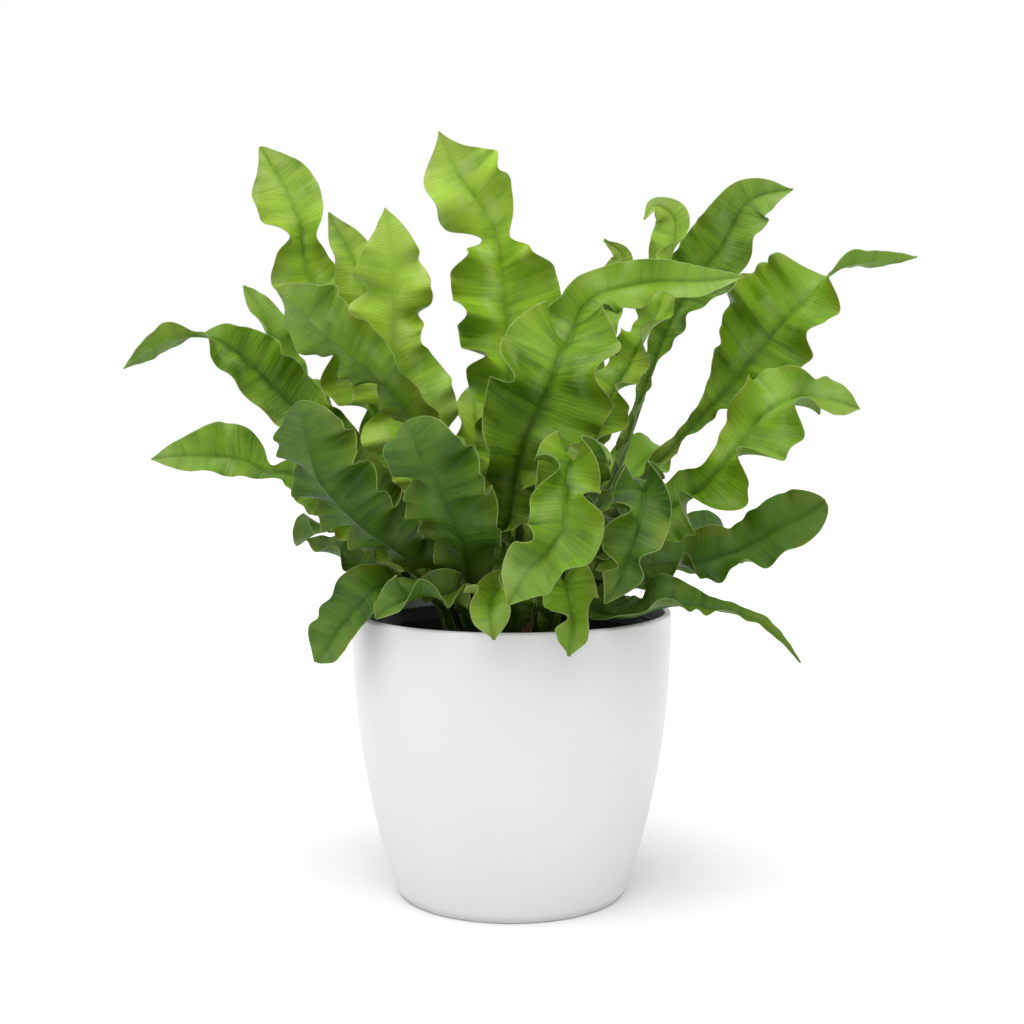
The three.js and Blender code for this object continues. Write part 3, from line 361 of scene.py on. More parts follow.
  front_low=dict(width=24, waves=[5, 5], swing=[50, 42], rise=0.6, calm=0.4,
    path=[[-13, -22.5, 107], [-22, -48, 134], [-33, -60, 139], [-41, -69, 138], [-48, -74, 136],
    [-53, -78, 132]], faces=[[0.1, -0.4, 0.9]]),
  left_drooping=dict(waves=[2, 2], swing=[26, 14], phase=[0, 0.2], cup=[10, 10],
    left=[2.4, 3, 4, 6, 8, 10, 11, 12, 12, 10, 5], right=[2.4, 3, 4, 6, 8, 11, 14, 15, 14, 11, 5],
    path=[[-22.6, -8.2, 107], [-31, -17, 131], [-42, -27, 135], [-52, -35, 139], [-59, -40, 137],
    [-67, -43, 128], [-74, -44, 118], [-81, -44, 109]], faces=[[-0.1, -0.5, 0.9],
    [-0.5, -0.8, 0.4]]),
  left_low_back=dict(width=26, waves=[5, 5], rise=0.6,
    path=[[-25.7, 3.6, 107], [-36, 12, 132], [-50, 18, 135], [-64, 24, 139], [-76, 28, 144],
    [-87, 32, 149], [-94, 34, 152]], faces=[[0.1, -0.5, 0.9]]),
  right_short=dict(width=18, waves=[5, 5],
    path=[[12.9, 1.8, 107], [22, 11, 148], [33, 16, 178], [40, 20, 198], [43, 22, 214]],
    faces=[[-0.5, -0.8, 0.3]]),
  back_left_low=dict(width=34, waves=[6, 6],
    path=[[-22.5, 13, 107], [-38, 34, 132], [-64, 60, 148], [-90, 86, 152], [-108, 104, 142]],
    faces=[[0.3, -0.5, 0.9]]),
  back_left=dict(width=34, waves=[6, 6],
    path=[[-11.5, 16.4, 107], [-21, 48, 148], [-37, 78, 176], [-51, 104, 192], [-61, 120, 194]],
    faces=[[0.3, -0.8, 0.6]]),
  back_upright=dict(width=30, waves=[5, 5],
    path=[[-4.1, 15.5, 107], [-10, 33, 152], [-15, 48, 190], [-17, 58, 212], [-17, 64, 224]],
    faces=[[0.1, -1, 0.4]]),
  back_centre=dict(width=32, waves=[5, 5],
    path=[[2.1, 23.9, 107], [8, 50, 146], [14, 78, 176], [16, 102, 194], [14, 118, 198]],
    faces=[[0, -1, 0.6]]),
  back_right=dict(width=32, waves=[6, 6],
    path=[[12.6, 18, 107], [28, 38, 144], [50, 60, 172], [68, 82, 188], [80, 100, 190]],
    faces=[[-0.3, -0.8, 0.6]]),
  back_right_low=dict(width=32, waves=[6, 6],
    path=[[21.3, 14.9, 107], [46, 32, 132], [74, 52, 146], [98, 70, 150], [114, 84, 142]],
    faces=[[-0.3, -0.5, 0.9]]),
  back_low=dict(width=28, waves=[5, 5],
    path=[[-3.3, 26.8, 107], [-5, 54, 133], [-10, 80, 142], [-12, 104, 140], [-12, 120, 128]],
    faces=[[0, -0.4, 1]]),
  right_low_back=dict(width=26, waves=[5, 5],
    path=[[25.4, 5.4, 107], [46, 12, 132], [72, 20, 142], [94, 28, 146], [110, 34, 142]],
    faces=[[-0.1, -0.5, 0.9]]),
)

# ---------- meshes


def ease(x, low, high):
    """Goes smoothly from 0 at low to 1 at high."""
    share = np.clip((x - low) / (high - low), 0.0, 1.0)
    return share * share * (3 - 2 * share)


def unit(v):
    v = np.asarray(v, float)
    return v / np.maximum(np.linalg.norm(v, axis=-1, keepdims=True), TINY)


def spline(points, t):
    """A Catmull-Rom curve through evenly spaced points."""
    p = np.asarray(points, float)
    count = len(p) - 1
    p = np.vstack([2 * p[0] - p[1], p, 2 * p[-1] - p[-2]])
    x = np.clip(t, 0, 1) * count
    i = np.minimum(x.astype(int), count - 1)
    f = (x - i)[:, None]
    a, b, c, d = p[i], p[i + 1], p[i + 2], p[i + 3]
    return 0.5 * (2 * b + (c - a) * f + (2 * a - 5 * b + 4 * c - d) * f**2
                  + (3 * b - a - 3 * c + d) * f**3)


def make_mesh(name, verts, faces, node=None, slot=None, smooth_shaded=True):
    """A mesh object whose points are given in millimetres."""
    mesh = bpy.data.meshes.new(name)
    mesh.from_pydata((np.asarray(verts) * MM).tolist(), [], [tuple(f) for f in faces])
    mesh.validate()
    mesh.polygons.foreach_set("use_smooth", [smooth_shaded] * len(mesh.polygons))
    obj = bpy.data.objects.new(name, mesh)
    bpy.context.scene.collection.objects.link(obj)
    if node:
        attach(obj, "root")
        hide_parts(node)
    return obj


def ring_faces(rings, sides, start=0):
    """Quads between rings of points, each ring on top of the one before."""
    quads = []
    for ring in range(rings - 1):
        low = start + ring * sides
        for k in range(sides):
            after = (k + 1) % sides
            quads.append((low + k, low + after, low + sides + after, low + sides + k))
    return quads


def lathe(profile, sides, bend=None):
    """Points and faces of a closed body round the Z axis.

    The profile's (radius, height) points start and end on the axis. bend gives a ring's radii
    and heights from its angles, radius and height.
    """
    angles = np.linspace(0, TURN, sides, endpoint=False)
    verts = [[[0, 0, profile[0][1]]]]
    for radius, height in profile[1:-1]:
        r, z = bend(angles, radius, height) if bend else (radius, height)
        verts.append(np.stack([r * np.cos(angles), r * np.sin(angles),
                               np.broadcast_to(z, sides)], -1))
    verts.append([[0, 0, profile[-1][1]]])
    rings = len(profile) - 2
    faces = ring_faces(rings, sides, 1)
    top = 1 + (rings - 1) * sides
    for k in range(sides):
        after = (k + 1) % sides
        faces.append((0, 1 + after, 1 + k))
        faces.append((top + sides, top + k, top + after))
    return np.concatenate(verts), faces


def arc(centre, radius, start, end, steps):
    """Points of an arc in a lathe profile, in degrees from the outward direction."""
    angles = np.radians(np.linspace(start, end, steps))
    return [(centre[0] + radius * math.cos(a), centre[1] + radius * math.sin(a)) for a in angles]


def joined(bodies):
    """The points and faces of several bodies as those of one."""
    verts = []
    faces = []
    total = 0
    for points, polygons in bodies:
        verts.append(points)
        faces += [tuple(total + i for i in polygon) for polygon in polygons]
        total += len(points)
    return np.concatenate(verts), faces


# ---------- one frond's blade


class Midrib:
    """A frond's path, by the share of its length."""

    SAMPLES = 401

    def __init__(self, spec):
        self.points = spline(spec["path"], np.linspace(0, 1, self.SAMPLES))
        steps = np.linalg.norm(np.diff(self.points, axis=0), axis=1)
        self.along = np.concatenate([[0], np.cumsum(steps)])
        self.length = self.along[-1]

    def at(self, u):
        s = u * self.length
        return np.stack([np.interp(s, self.along, self.points[:, k]) for k in range(3)], -1)


def trait(spec, name):
    return spec.get(name, (GIVEN if "left" in spec else PLAIN)[name])


def facing(spec, u):
    x, y, _ = spec["path"][0]
    radius = math.hypot(x, y)
    inward = unit([-x / radius, -y / radius, LOOK_UP])
    given = [unit(f) for f in spec["faces"]]
    return spline([inward] + (given if len(given) > 1 else given * 3), u)


def tip(spec, u):
    taper = trait(spec, "taper")
    closing = np.clip((u - taper) / (1 - taper), 0, 1)
    return (1 - closing ** trait(spec, "blunt")) ** trait(spec, "edge")


def plain_half(spec, u):
    stem = trait(spec, "stem")
    wide = spec["width"] / 2 * ease(u, stem, stem + trait(spec, "rise")) ** BLADE.rise_bend
    narrowing = 1 - ease(u, *BLADE.stipe_ends)
    stipe = BLADE.stem_half_out + (BLADE.stem_half - BLADE.stem_half_out) * narrowing
    return np.maximum(np.maximum(stipe, wide * tip(spec, u)), BLADE.tip_half)


def given_half(spec, u, widths):
    wide = spline(np.asarray(widths, float)[:, None], u)[:, 0]
    for place, kept in spec.get("necks", []):
        wide = wide * (1 - (1 - kept) * np.exp(-((u - place) / BLADE.neck_length) ** 2))
    return np.maximum(wide * tip(spec, u), BLADE.tip_half)


def half_width(spec, u, side):
    if "left" not in spec:
        return plain_half(spec, u)
    return given_half(spec, u, spec["right"] if side else spec["left"])


def blade(spec, rib, u, v):
    """Points of the blade's middle surface, with v from -1 at the left margin to 1 at the right."""
    point = rib.at(u)
    along = unit(rib.at(np.clip(u + SLOPE_STEP, 0, 1)) - rib.at(np.clip(u - SLOPE_STEP, 0, 1)))
    look = facing(spec, u)
    up = unit(look - (look * along).sum(-1, keepdims=True) * along)
    across = np.cross(along, up)
    stem = trait(spec, "stem")
    way = np.clip((u - stem) / (1 - stem), 0, 1) ** WAVE.stretch
    near, far = np.radians(trait(spec, "swing"))
    quiet = 1 - trait(spec, "calm") * ease(u, WAVE.calm_from, 1)
    swing = (near + (far - near) * ease(u, *WAVE.grow)) * quiet * ease(u, 0, WAVE.begin)
    cup = np.radians(trait(spec, "cup"))
    phase = trait(spec, "phase")
    cupped = ease(u, 0, WAVE.cup_from)
    out = np.zeros((len(u), len(v), 3))
    for column, place in enumerate(v):
        side = 1 if place > 0 else 0
        q = abs(place)
        reach = half_width(spec, u, side) * q
        own = float(np.dot(WAVE.own, (*phase, side)))
        stray = WAVE.stray * np.sin(TURN * (WAVE.stray_rate * u + own))
        turn = TURN * (spec["waves"][side] * way + phase[side] + stray)
        slow = TURN * (WAVE.uneven_rate * u + WAVE.uneven_shift * own)
        height = 1 + WAVE.uneven * np.sin(slow)
        share = WAVE.at_midrib + (1 - WAVE.at_midrib) * q
        wave = (np.exp(WAVE.lopsided * np.sin(turn)) - 1) / (math.exp(WAVE.lopsided) - 1)
        ripple = np.sin(RIPPLE.per_wave * turn + RIPPLE.shift * own)
        tilt = cup[side] * cupped + swing * height * wave * share
        tilt = tilt + RIPPLE.swing * ripple * q * q * cupped * quiet
        frill = np.sin(TURN * (u * rib.length / RIPPLE.frill_length + own))
        level = reach * np.sin(tilt) + RIPPLE.frill * frill * q**4 * cupped
        bunch = WAVE.bunch * swing * q * np.sin(2 * turn)
        sideways = np.sign(place) * reach * np.cos(tilt) * math.cos(BLADE.vein_sweep)
        forward = reach * (math.sin(BLADE.vein_sweep) - bunch)
        out[:, column] = (point + sideways[:, None] * across + level[:, None] * up
                          + forward[:, None] * along)
    return out


def column_places():
    """Columns across the blade, closer at the midrib and at the margin."""
    even = np.linspace(0, 1, COLUMNS)
    half = even - COLUMN_PULL * np.sin(TURN * even)
    return np.concatenate([-half[:0:-1], half])


def loop_faces(rows, count):
    """Quads between rows of points that each go once round the blade, and the two ends."""
    index = np.arange(rows * count).reshape(rows, count)
    here = index[:-1]
    ahead = index[1:]
    quads = np.stack([here, np.roll(here, -1, 1), np.roll(ahead, -1, 1), ahead], -1)
    return quads.reshape(-1, 4).tolist() + [index[0][::-1].tolist(), index[-1].tolist()]


def set_attribute(obj, name, *values):
    layer = obj.data.attributes.new(name, "FLOAT_VECTOR", "POINT")
    layer.data.foreach_set("vector", np.stack(values, -1).astype(np.float32).ravel())


def frond_mesh(name, spec, tone, slot):
    """One closed body. Its attributes say where each point is on the frond."""
    rib = Midrib(spec)
    rows = int(rib.length / ROW_LENGTH)
    u = np.linspace(0, 1, rows)
    v = column_places()
    middle = blade(spec, rib, u, v)
    normal = unit(np.cross(np.gradient(middle, axis=1), np.gradient(middle, axis=0)))
    left, right = (half_width(spec, u, side)[:, None] for side in (0, 1))
    half = np.where(v > 0, right, left)
    reach = half * np.abs(v)
    edge = half - reach
    grown = np.broadcast_to(u[:, None], reach.shape)
    depth = BLADE.rib_root + (BLADE.rib_tip - BLADE.rib_root) * grown
    width = BLADE.rib_half_root + (BLADE.rib_half_tip - BLADE.rib_half_root) * grown
    ridge = np.exp(-((reach / width) ** 2))
    thick = ease(edge, 0, BLADE.thin_edge)
    skin = BLADE.edge_skin + (BLADE.skin - BLADE.edge_skin) * thick
    groove = BLADE.groove * np.exp(-((reach / BLADE.groove_half) ** 2))
    groove = groove * ease(grown, *BLADE.groove_grows)
    upper = middle + normal * (skin / 2 - groove)[..., None]
    lower = middle - normal * (skin / 2 + (depth - skin) * ridge)[..., None]
    # a rounded margin: one more column at each side, half way down and a little further out
    outward = unit(middle[:, [0, -1]] - middle[:, [1, -2]])
    margin = middle[:, [0, -1]] + outward * BLADE.edge_skin / 2
    loop = np.concatenate([margin[:, :1], upper, margin[:, 1:], lower[:, ::-1]], axis=1)

    def around(values):
        return np.concatenate([values[:, :1], values, values[:, -1:], values[:, ::-1]], axis=1)

    rim = np.full((rows, 1), 0.5)
    under = np.concatenate([rim, np.zeros_like(reach), rim, np.ones_like(reach)], axis=1)
    obj = make_mesh("blade_" + name, loop.reshape(-1, 3), loop_faces(*loop.shape[:2]),
                    "frond_" + name, slot)
    set_attribute(obj, "place", around(grown * rib.length), around(reach * np.sign(v)),
                  around(edge))
    set_attribute(obj, "growth", around(grown), np.full_like(under, tone), under)
    return obj


# ---------- materials


def colour(value):
    if isinstance(value, tuple) and len(value) == 3:
        return (*value, 1.0)
    return value


class Graph:
    """A short way to write a material's nodes."""

    def __init__(self, name, shine):
        self.material = bpy.data.materials.new(name)
        self.material.use_nodes = True
        self.nodes = self.material.node_tree.nodes
        self.links = self.material.node_tree.links
        self.shader = self.nodes["Principled BSDF"]
        self.shader.inputs["Specular IOR Level"].default_value = shine

    def put(self, socket, value):
        if isinstance(value, bpy.types.NodeSocket):
            self.links.new(value, socket)
        else:
            socket.default_value = value

    def math(self, operation, *values):
        node = self.nodes.new("ShaderNodeMath")
        node.operation = operation
        for socket, value in zip(node.inputs, values):
            self.put(socket, value)
        return node.outputs[0]

    def plus(self, a, b):
        return self.math("ADD", a, b)

    def times(self, a, b):
        return self.math("MULTIPLY", a, b)

    def step(self, value, low, high, to_low=0.0, to_high=1.0):
        """Goes smoothly from to_low at low to to_high at high."""
        node = self.nodes.new("ShaderNodeMapRange")
        node.interpolation_type = "SMOOTHSTEP"
        for name, given in zip(("Value", "From Min", "From Max", "To Min", "To Max"),
                               (value, low, high, to_low, to_high)):
            self.put(node.inputs[name], given)
        return node.outputs["Result"]

    def mix(self, factor, a, b):
        node = self.nodes.new("ShaderNodeMix")
        node.data_type = "RGBA"
        self.put(node.inputs[0], factor)
        self.put(node.inputs[6], colour(a))
        self.put(node.inputs[7], colour(b))
        return node.outputs[2]

    def position(self):
        return self.nodes.new("ShaderNodeNewGeometry").outputs["Position"]

    def noise(self, scale, detail=2.0, roughness=0.5, at=None):
        """An uneven pattern, at the point's place or at another vector."""
        node = self.nodes.new("ShaderNodeTexNoise")
        self.put(node.inputs["Vector"], self.position() if at is None else at)
        self.put(node.inputs["Scale"], scale)
        self.put(node.inputs["Detail"], detail)
        self.put(node.inputs["Roughness"], roughness)
        return node.outputs["Fac"]

    def split(self, vector):
        node = self.nodes.new("ShaderNodeSeparateXYZ")
        self.put(node.inputs[0], vector)
        return node.outputs[0], node.outputs[1], node.outputs[2]

    def join(self, x, y, z):
        node = self.nodes.new("ShaderNodeCombineXYZ")
        for socket, value in zip(node.inputs, (x, y, z)):
            self.put(socket, value)
        return node.outputs[0]

    def attribute(self, name):
        node = self.nodes.new("ShaderNodeAttribute")
        node.attribute_name = name
        return self.split(node.outputs["Vector"])

    def bump(self, height, distance, strength):
        node = self.nodes.new("ShaderNodeBump")
        self.put(node.inputs["Height"], height)
        node.inputs["Distance"].default_value = distance * MM
        node.inputs["Strength"].default_value = strength
        self.put(self.shader.inputs["Normal"], node.outputs["Normal"])

    def finish(self, base, roughness):
        self.put(self.shader.inputs["Base Color"], base)
        self.put(self.shader.inputs["Roughness"], roughness)
        return self.material


def frond_material(name, dark, light, vein, pale):
    """A leaf: dark and light green in bands and clouds, fine parallel veins and streaks between
    them, olive patches, pale patches of painted sheen, a dark midrib with painted shade in and
    beside its crease, a dark stipe and a pale margin."""
    g = Graph(name, LEAF.shine)
    along, across, edge = g.attribute("place")
    grown, tone, under = g.attribute("growth")
    far = g.math("ABSOLUTE", across)
    # every frond and each of its halves has its own stretch of the patterns
    own = g.plus(g.times(tone, PATTERN_SHIFTS.tone), g.math("SIGN", across))

    def pattern(name, third):
        rate_along, rate_across, detail, roughness = LEAF_PATTERNS[name]
        place = g.join(g.times(along, rate_along), g.times(across, rate_across), third)
        return g.noise(1.0, detail, roughness, place)

    # lighter towards the tip: partly the tip's own paler green and partly painted shade, darker
    # towards the root deep in the plant; with clouds and bands
    cloud = pattern("cloud", own)
    band = pattern("band", own)
    lightness = g.plus(g.step(grown, 0.15, 1.0, 0.0, LEAF.ripening), g.times(tone, LEAF.tone))
    lightness = g.plus(lightness, g.step(cloud, 0.3, 0.7, -LEAF.cloud, LEAF.cloud))
    lightness = g.plus(lightness, g.step(band, 0.32, 0.68, -LEAF.band, LEAF.band))
    base = g.mix(g.step(lightness, 0.0, 1.0), dark, light)
    # the outer part is more olive in places
    olive = g.times(g.step(edge, 0.0, LEAF.olive_reach, LEAF.olive, 0.0),
                    g.step(cloud, 0.42, 0.65))
    base = g.mix(olive, base, OLIVE)
    # veins: fine even lines that waver a little, with streaks of unequal strength and a grain
    shifted = g.plus(along, g.times(pattern("waver", tone), LEAF.vein_waver))
    line = g.step(g.math("SINE", g.times(shifted, TURN / LEAF.vein_spacing)), -0.2, 0.9)
    streak = g.step(pattern("streak", tone), 0.35, 0.68)
    grain = pattern("grain", own)
    veins = g.plus(g.times(line, g.step(band, 0.3, 0.7, *LEAF.lines)),
                   g.times(streak, LEAF.streaks))
    veins = g.plus(veins, g.step(grain, 0.5, 0.75, 0.0, LEAF.grain))
    veins = g.times(veins, g.step(far, *LEAF.vein_start))
    base = g.mix(g.times(veins, LEAF.veins), base, vein)
    # the underside takes on a little of one dull green
    base = g.mix(g.times(g.step(under, 0.4, 0.6), LEAF.underside), base, UNDERSIDE)
    # painted sheen: a pale whitish green in patches and towards the tip, standing in for the leaf's
    # gloss
    patch = pattern("patch", g.plus(own, PATTERN_SHIFTS.patch))
    bloom = g.times(g.step(patch, 0.5, 0.72, 0.0, LEAF.bloom), g.step(grain, 0.3, 0.6, 0.6, 1.0))
    at_tip = g.step(grown, LEAF.tip, 1.0, 0.0, LEAF.tip_bloom)
    base = g.mix(g.plus(bloom, at_tip), base, pale)
    # midrib: a narrow dark line, the midrib's own darker green with painted shade in its crease, in
    # a soft band of painted shade beside it, both fading towards the tip
    fading = g.step(grown, *LEAF.rib_fades, 1.0, LEAF.rib_left)
    rib = g.times(g.step(far, *LEAF.midrib_half, LEAF.midrib, 0.0), fading)
    halo = g.times(g.step(far, *LEAF.halo_half, LEAF.halo, 0.0), fading)
    base = g.mix(g.math("MAXIMUM", rib, halo), base, MIDRIB_AND_CREASE_SHADE)
    base = g.mix(g.step(grown, *LEAF.stipe_ends, LEAF.stipe, 0.0), base, STIPE)
    base = g.mix(g.step(edge, *LEAF.margin_width, LEAF.margin, 0.0), base, MARGIN)
    height = g.plus(veins, g.times(cloud, LEAF.cloud_height))
    height = g.plus(height, g.times(g.noise(LEAF.fine_scale), LEAF.fine_height))
    g.bump(height, LEAF.bump, LEAF.bump_strength)
    rough = g.plus(g.step(cloud, 0.3, 0.7, *LEAF.roughness),
                   g.times(veins, LEAF.vein_roughness))
    return g.finish(base, rough)


def pot_material():
    """Satin white plastic with a very faint orange-peel surface."""
    g = Graph("satin_white_plastic", shine=0.5)
    tint = g.step(g.noise(scale=14.0), 0.3, 0.7)
    g.bump(g.noise(scale=1400.0), distance=0.02, strength=0.25)
    return g.finish(g.mix(tint, POT_WHITE, POT_WHITE_WARM), g.step(tint, 0, 1, 0.30, 0.36))


def nursery_material():
    """Black plastic with a little dust."""
    g = Graph("black_pot_plastic", shine=0.22)
    dust = g.step(g.noise(scale=120.0, detail=4.0, roughness=0.6), 0.45, 0.75)
    g.bump(g.noise(scale=900.0), distance=0.05, strength=0.4)
    return g.finish(g.mix(g.times(dust, 0.2), NURSERY_BLACK, NURSERY_DUST),
                    g.step(dust, 0, 1, 0.38, 0.7))


def peat_material():
    g = Graph("dark_peat", shine=0.25)
    grain = g.noise(scale=420.0, detail=5.0, roughness=0.65)
    clump = g.noise(scale=90.0, detail=3.0)
    base = g.mix(g.step(grain, 0.35, 0.7), PEAT_DARK, PEAT_LIGHT)
    base = g.mix(g.step(clump, 0.55, 0.75, 0.0, 0.5), base, PEAT_FIBRE)
    g.bump(grain, distance=0.6, strength=0.9)
    return g.finish(base, g.step(grain, 0.3, 0.7, 0.8, 0.97))


def scale_material():
    """The crown's brown papery scales, streaked from foot to tip."""
    g = Graph("crown_scales", shine=0.35)
    x, y, z = g.split(g.position())
    stretched = g.join(g.times(x, 900.0), g.times(y, 900.0), g.times(z, 120.0))
    streak = g.noise(1.0, detail=3.0, at=stretched)
    patch = g.noise(scale=160.0)
    base = g.mix(g.step(streak, 0.3, 0.7), CROWN_DARK, CROWN_LIGHT)
    g.bump(streak, distance=0.2, strength=0.8)
    return g.finish(g.mix(g.step(patch, 0.4, 0.7, 0.0, 0.4), base, PEAT_DARK), 0.72)


def floor_material():
    g = Graph("white_table", shine=0.2)
    tint = g.step(g.noise(scale=3.0), 0.3, 0.7)
    return g.finish(g.mix(tint, FLOOR_WHITE, FLOOR_WHITE_COOL), 0.6)


# ---------- pots


def pot_radius(height):
    return POT.rim_radius - POT.foot_inset * (1 - height / POT.height) ** POT.lean


def cover_pot():
    """The white pot: a ring to stand on, a wall of even thickness and a rounded rim."""
    half = POT.wall / 2
    foot = POT.foot_round
    top = POT.height - half
    turn_in = pot_radius(0) - foot
    ring = pot_radius(0) - POT.foot_ring
    profile = [(0, POT.hollow), (ring - POT.foot_slope, POT.hollow), (ring, 0.0)]
    profile += [(turn_in, 0.0)] + arc((turn_in, foot), foot, start=-80, end=-10, steps=6)
    profile += [(pot_radius(h), h) for h in np.linspace(foot, top, POT.outer_rings)]
    profile += arc((POT.rim_radius - half, top), half, start=12, end=168, steps=12)
    profile += [(pot_radius(h) - POT.wall, h)
                for h in np.linspace(top, POT.floor + POT.corner, POT.inner_rings)]
    profile += [(profile[-1][0] - POT.corner, POT.floor), (0, POT.floor)]
    pot = make_mesh("cover_pot", *lathe(profile, POT.sides), "pot", "pot")
    pot.data.materials.append(pot_material())


def nursery_pot():
    """A thin black pot with shallow upright ribs and a rolled lip."""
    n = NURSERY
    rim = n.rim_radius
    half = n.wall / 2
    bevel, lip_foot, lip_outside, lip_inside = n.under_lip

    def ribbed(angles, radius, height):
        share = ease(height, *n.ribs_grow)
        share = share * (1 - ease(height, *(WALL_TOP - down for down in n.ribs_fade)))
        rib = (0.5 + 0.5 * np.cos(n.ribs * angles)) ** n.rib_sharpness
        return radius - n.rib_depth * share * rib, height

    def wall(start, end, rings, inset):
        return [(n.base_radius + WALL_SLOPE * (h - n.base) - inset, h)
                for h in np.linspace(start, end, rings)]

    profile = [(0, n.base), (n.base_radius - n.bevel, n.base)]
    profile += wall(n.base + n.bevel, WALL_TOP, n.outer_rings, 0)
    profile += [(rim - bevel, WALL_TOP + lip_foot), (rim, WALL_TOP + lip_outside)]
    profile += arc((rim - half, n.rim_height - half), half, start=0, end=180, steps=8)
    profile += [(rim - n.wall, WALL_TOP + lip_inside),
                (rim - n.lip_width - n.wall, WALL_TOP + lip_outside)]
    floor = n.base + n.wall
    profile += wall(WALL_TOP, floor + n.corner, n.inner_rings, n.wall) + [(0, floor)]
    pot = make_mesh("black_inner_pot", *lathe(profile, n.sides, ribbed), "nursery_pot",
                    "nursery_pot")
    pot.data.materials.append(nursery_material())


# ---------- peat and crown


def uneven(x, y, seed, length, count=14, spread=(0.5, 1.6), damping=5):
    """A smooth uneven pattern over a surface, between about -1 and 1."""
    rng = np.random.default_rng(seed)
    total = np.zeros_like(x)
    for _ in range(count):
        angle = rng.uniform(0, TURN)
        rate = TURN / (length * rng.uniform(*spread))
        total += np.sin((x * math.cos(angle) + y * math.sin(angle)) * rate + rng.uniform(0, TURN))
    return total / damping


def crumb(edge, rng):
    """A small closed crumb lying on the peat: an uneven eight-cornered stone."""
    angle = rng.uniform(0, TURN)
    radius = math.sqrt(rng.uniform(CRUMB.from_middle, 1)) * (edge - CRUMB.from_edge)
    size = rng.uniform(*CRUMB.size)
    size = size * np.array([1, rng.uniform(*CRUMB.depth), rng.uniform(*CRUMB.height)])
    corners = np.array([(x, y, z) for x in (-1, 1) for y in (-1, 1) for z in (-1, 1)], float)
    corners *= rng.uniform(*CRUMB.chipped, corners.shape) * size / 2
    turn = rng.uniform(0, TURN)
    spin = np.array([[math.cos(turn), -math.sin(turn), 0], [math.sin(turn), math.cos(turn), 0],
                     [0, 0, 1]])
    centre = (radius * math.cos(angle), radius * math.sin(angle), SOIL.height - CRUMB.sunk)
    faces = [(0, 1, 3, 2), (4, 6, 7, 5), (0, 4, 5, 1), (2, 3, 7, 6), (0, 2, 6, 4), (1, 5, 7, 3)]
    return corners @ spin.T + centre, faces


def peat_body(foot, base, edge):
    """The peat that fills the inner pot, with an uneven top."""
    sides = SOIL.sides
    angles = np.linspace(0, TURN, sides, endpoint=False)
    verts = []
    for t in (0.0, 0.5, 1.0):
        r = foot + (edge - foot) * t
        height = np.full(sides, base + (SOIL.height - SOIL.shoulder - base) * t)
        verts.append(np.stack([r * np.cos(angles), r * np.sin(angles), height], -1))
    for r in np.linspace(edge, SOIL.flat_middle, SOIL.top_rings):
        x = r * np.cos(angles)
        y = r * np.sin(angles)
        lumps = sum(uneven(x, y, seed, length) * share for seed, length, share in SOIL.lumps)
        lumps = SOIL.lump * lumps * ease(edge - r, 0, SOIL.edge_fade)
        verts.append(np.stack([x, y, SOIL.height - SOIL.dip + lumps], -1))
    rings = len(verts)
    faces = ring_faces(rings, sides)
    faces.append(tuple(range(sides - 1, -1, -1)))
    faces.append(tuple(range((rings - 1) * sides, rings * sides)))
    return np.concatenate(verts), faces


def peat():
    """The peat's body and the crumbs lying on it."""
    floor_play, foot_play, wall_play = SOIL.play
    base = NURSERY.base + NURSERY.wall + floor_play
    foot = NURSERY.base_radius - NURSERY.wall - foot_play
    edge = foot + WALL_SLOPE * (SOIL.height - base) - wall_play
    rng = np.random.default_rng(SEEDS.crumbs)
    bodies = [peat_body(foot, base, edge)] + [crumb(edge, rng) for _ in range(CRUMB.count)]
    body = make_mesh("peat", *joined(bodies), "soil", "soil", smooth_shaded=False)
    body.data.materials.append(peat_material())


def crown_height(radius):
    share = np.clip(radius / CROWN.radius, 0, 1)
    return CROWN.top - (CROWN.top - CROWN.shoulder) * share ** CROWN.dome


def crown_body():
    """The rootstock under its scales: an uneven dome."""
    outer = CROWN.radius - CROWN.bevel
    profile = [(0, CROWN.bottom), (CROWN.bottom_radius, CROWN.bottom),
               (CROWN.radius, CROWN.shoulder - CROWN.under_scales / 2)]
    profile += [(r, crown_height(r) - CROWN.under_scales)
                for r in np.linspace(outer, 0, CROWN.rings)]

    def knobbly(angles, radius, height):
        lobes = np.sin(CROWN.lobes * angles + radius)
        folds = np.sin(CROWN.folds * angles + CROWN.fold_twist * radius)
        return radius * (1 + CROWN.lobe * lobes), height - CROWN.fold * folds

    return lathe(profile, CROWN.sides, knobbly)


def papery_scale(rng):
    """A narrow four-sided scale that stands on the crown and ends in a point."""
    angle = rng.uniform(0, TURN)
    radius = math.sqrt(rng.uniform(0, 1)) * (CROWN.radius - CROWN.bevel)
    tall = rng.uniform(*SCALE.height)
    wide = rng.uniform(*SCALE.half_width)
    turn = rng.uniform(0, TURN)
    lean = np.array([rng.normal(0, SCALE.lean), rng.normal(0, SCALE.lean), 1.0]) * tall
    foot = np.array([radius * math.cos(angle), radius * math.sin(angle),
                     crown_height(radius) - SCALE.root])
    sideways = np.array([math.cos(turn), math.sin(turn), 0]) * wide
    thick = np.array([-math.sin(turn), math.cos(turn), 0]) * SCALE.half_thickness
    corners = [foot + lean * place + offset for place, width in SCALE.shape
               for offset in (-sideways * width, thick, sideways * width, -thick)]
    last = len(corners) - 4
    faces = ring_faces(len(SCALE.shape), 4) + [(3, 2, 1, 0)]
    faces += [(last + i, last + (i + 1) % 4, last + 4) for i in range(4)]
    return np.array([*corners, foot + lean]), faces


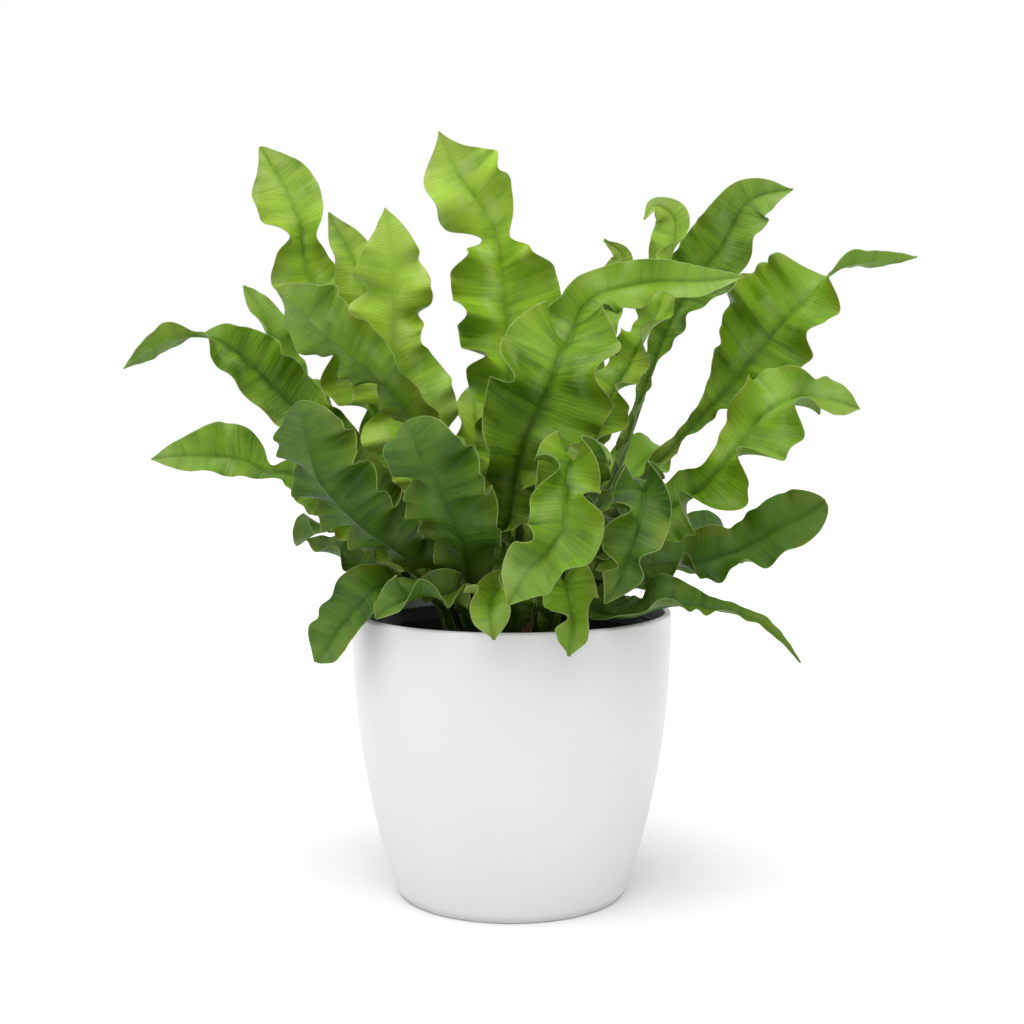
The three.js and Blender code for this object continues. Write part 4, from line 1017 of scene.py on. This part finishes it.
def crown():
    """The rootstock, set with narrow upright scales."""
    rng = np.random.default_rng(SEEDS.scales)
    bodies = [crown_body()] + [papery_scale(rng) for _ in range(SCALE.count)]
    body = make_mesh("rootstock", *joined(bodies), "crown", "crown", smooth_shaded=False)
    body.data.materials.append(scale_material())


# ---------- studio and camera


def table():
    corners = [(x * FLOOR_HALF, y * FLOOR_HALF, 0) for x, y in ((-1, -1), (1, -1), (1, 1), (-1, 1))]
    floor = make_mesh("floor", corners, [(0, 1, 2, 3)])
    floor.data.materials.append(floor_material())


def room():
    """White light from the sides that gets dim overhead."""
    world = bpy.data.worlds.new("white_room")
    world.use_nodes = True
    nodes = world.node_tree.nodes
    links = world.node_tree.links
    background = nodes["Background"]
    background.inputs["Strength"].default_value = ROOM_LIGHT
    direction = nodes.new("ShaderNodeTexCoord").outputs["Generated"]
    parts = nodes.new("ShaderNodeSeparateXYZ")
    fade = nodes.new("ShaderNodeMapRange")
    fade.interpolation_type = "SMOOTHSTEP"
    for socket, value in zip(("From Min", "From Max", "To Min", "To Max"),
                             (*ROOM_HEIGHTS, 1.0, ROOM_DIM)):
        fade.inputs[socket].default_value = value
    links.new(direction, parts.inputs[0])
    links.new(parts.outputs["Z"], fade.inputs["Value"])
    links.new(fade.outputs["Result"], background.inputs["Color"])
    bpy.context.scene.world = world


def lights():
    for name, source, strength, width in LIGHTS:
        lamp = bpy.data.lights.new(name, "SUN")
        lamp.angle = math.radians(width)
        lamp.energy = strength
        obj = bpy.data.objects.new(name, lamp)
        obj.rotation_euler = Vector(source).to_track_quat("Z", "Y").to_euler()
        bpy.context.scene.collection.objects.link(obj)


def camera():
    data = bpy.data.cameras.new("photo_camera")
    data.sensor_width = CAMERA.sensor
    data.lens = CAMERA.lens
    data.shift_x = CAMERA.shift_x
    obj = bpy.data.objects.new("photo_camera", data)
    obj.location = CAMERA.place
    obj.rotation_euler = (math.pi / 2 - CAMERA.pitch_down, 0, 0)
    bpy.context.scene.collection.objects.link(obj)
    bpy.context.scene.camera = obj
    bpy.context.scene.view_settings.view_transform = "Standard"


# ---------- the plant


def fronds():
    materials = {slot: frond_material(name, *LEAF_COLOURS[slot])
                 for slot, name in LEAF_NAMES.items()}
    rng = np.random.default_rng(SEEDS.tones)
    for name, spec in FRONDS.items():
        chance = float(rng.uniform(0, 1))
        slot = "frond_young" if name in YOUNG_AND_LIT else "frond_old" if name in OLD_AND_SHADED else "frond"
        obj = frond_mesh(name, spec, TONE.get(name, chance), slot)
        obj.data.materials.append(materials[slot])


fronds()
crown()
peat()
nursery_pot()
cover_pot()
table()
room()
lights()
camera()
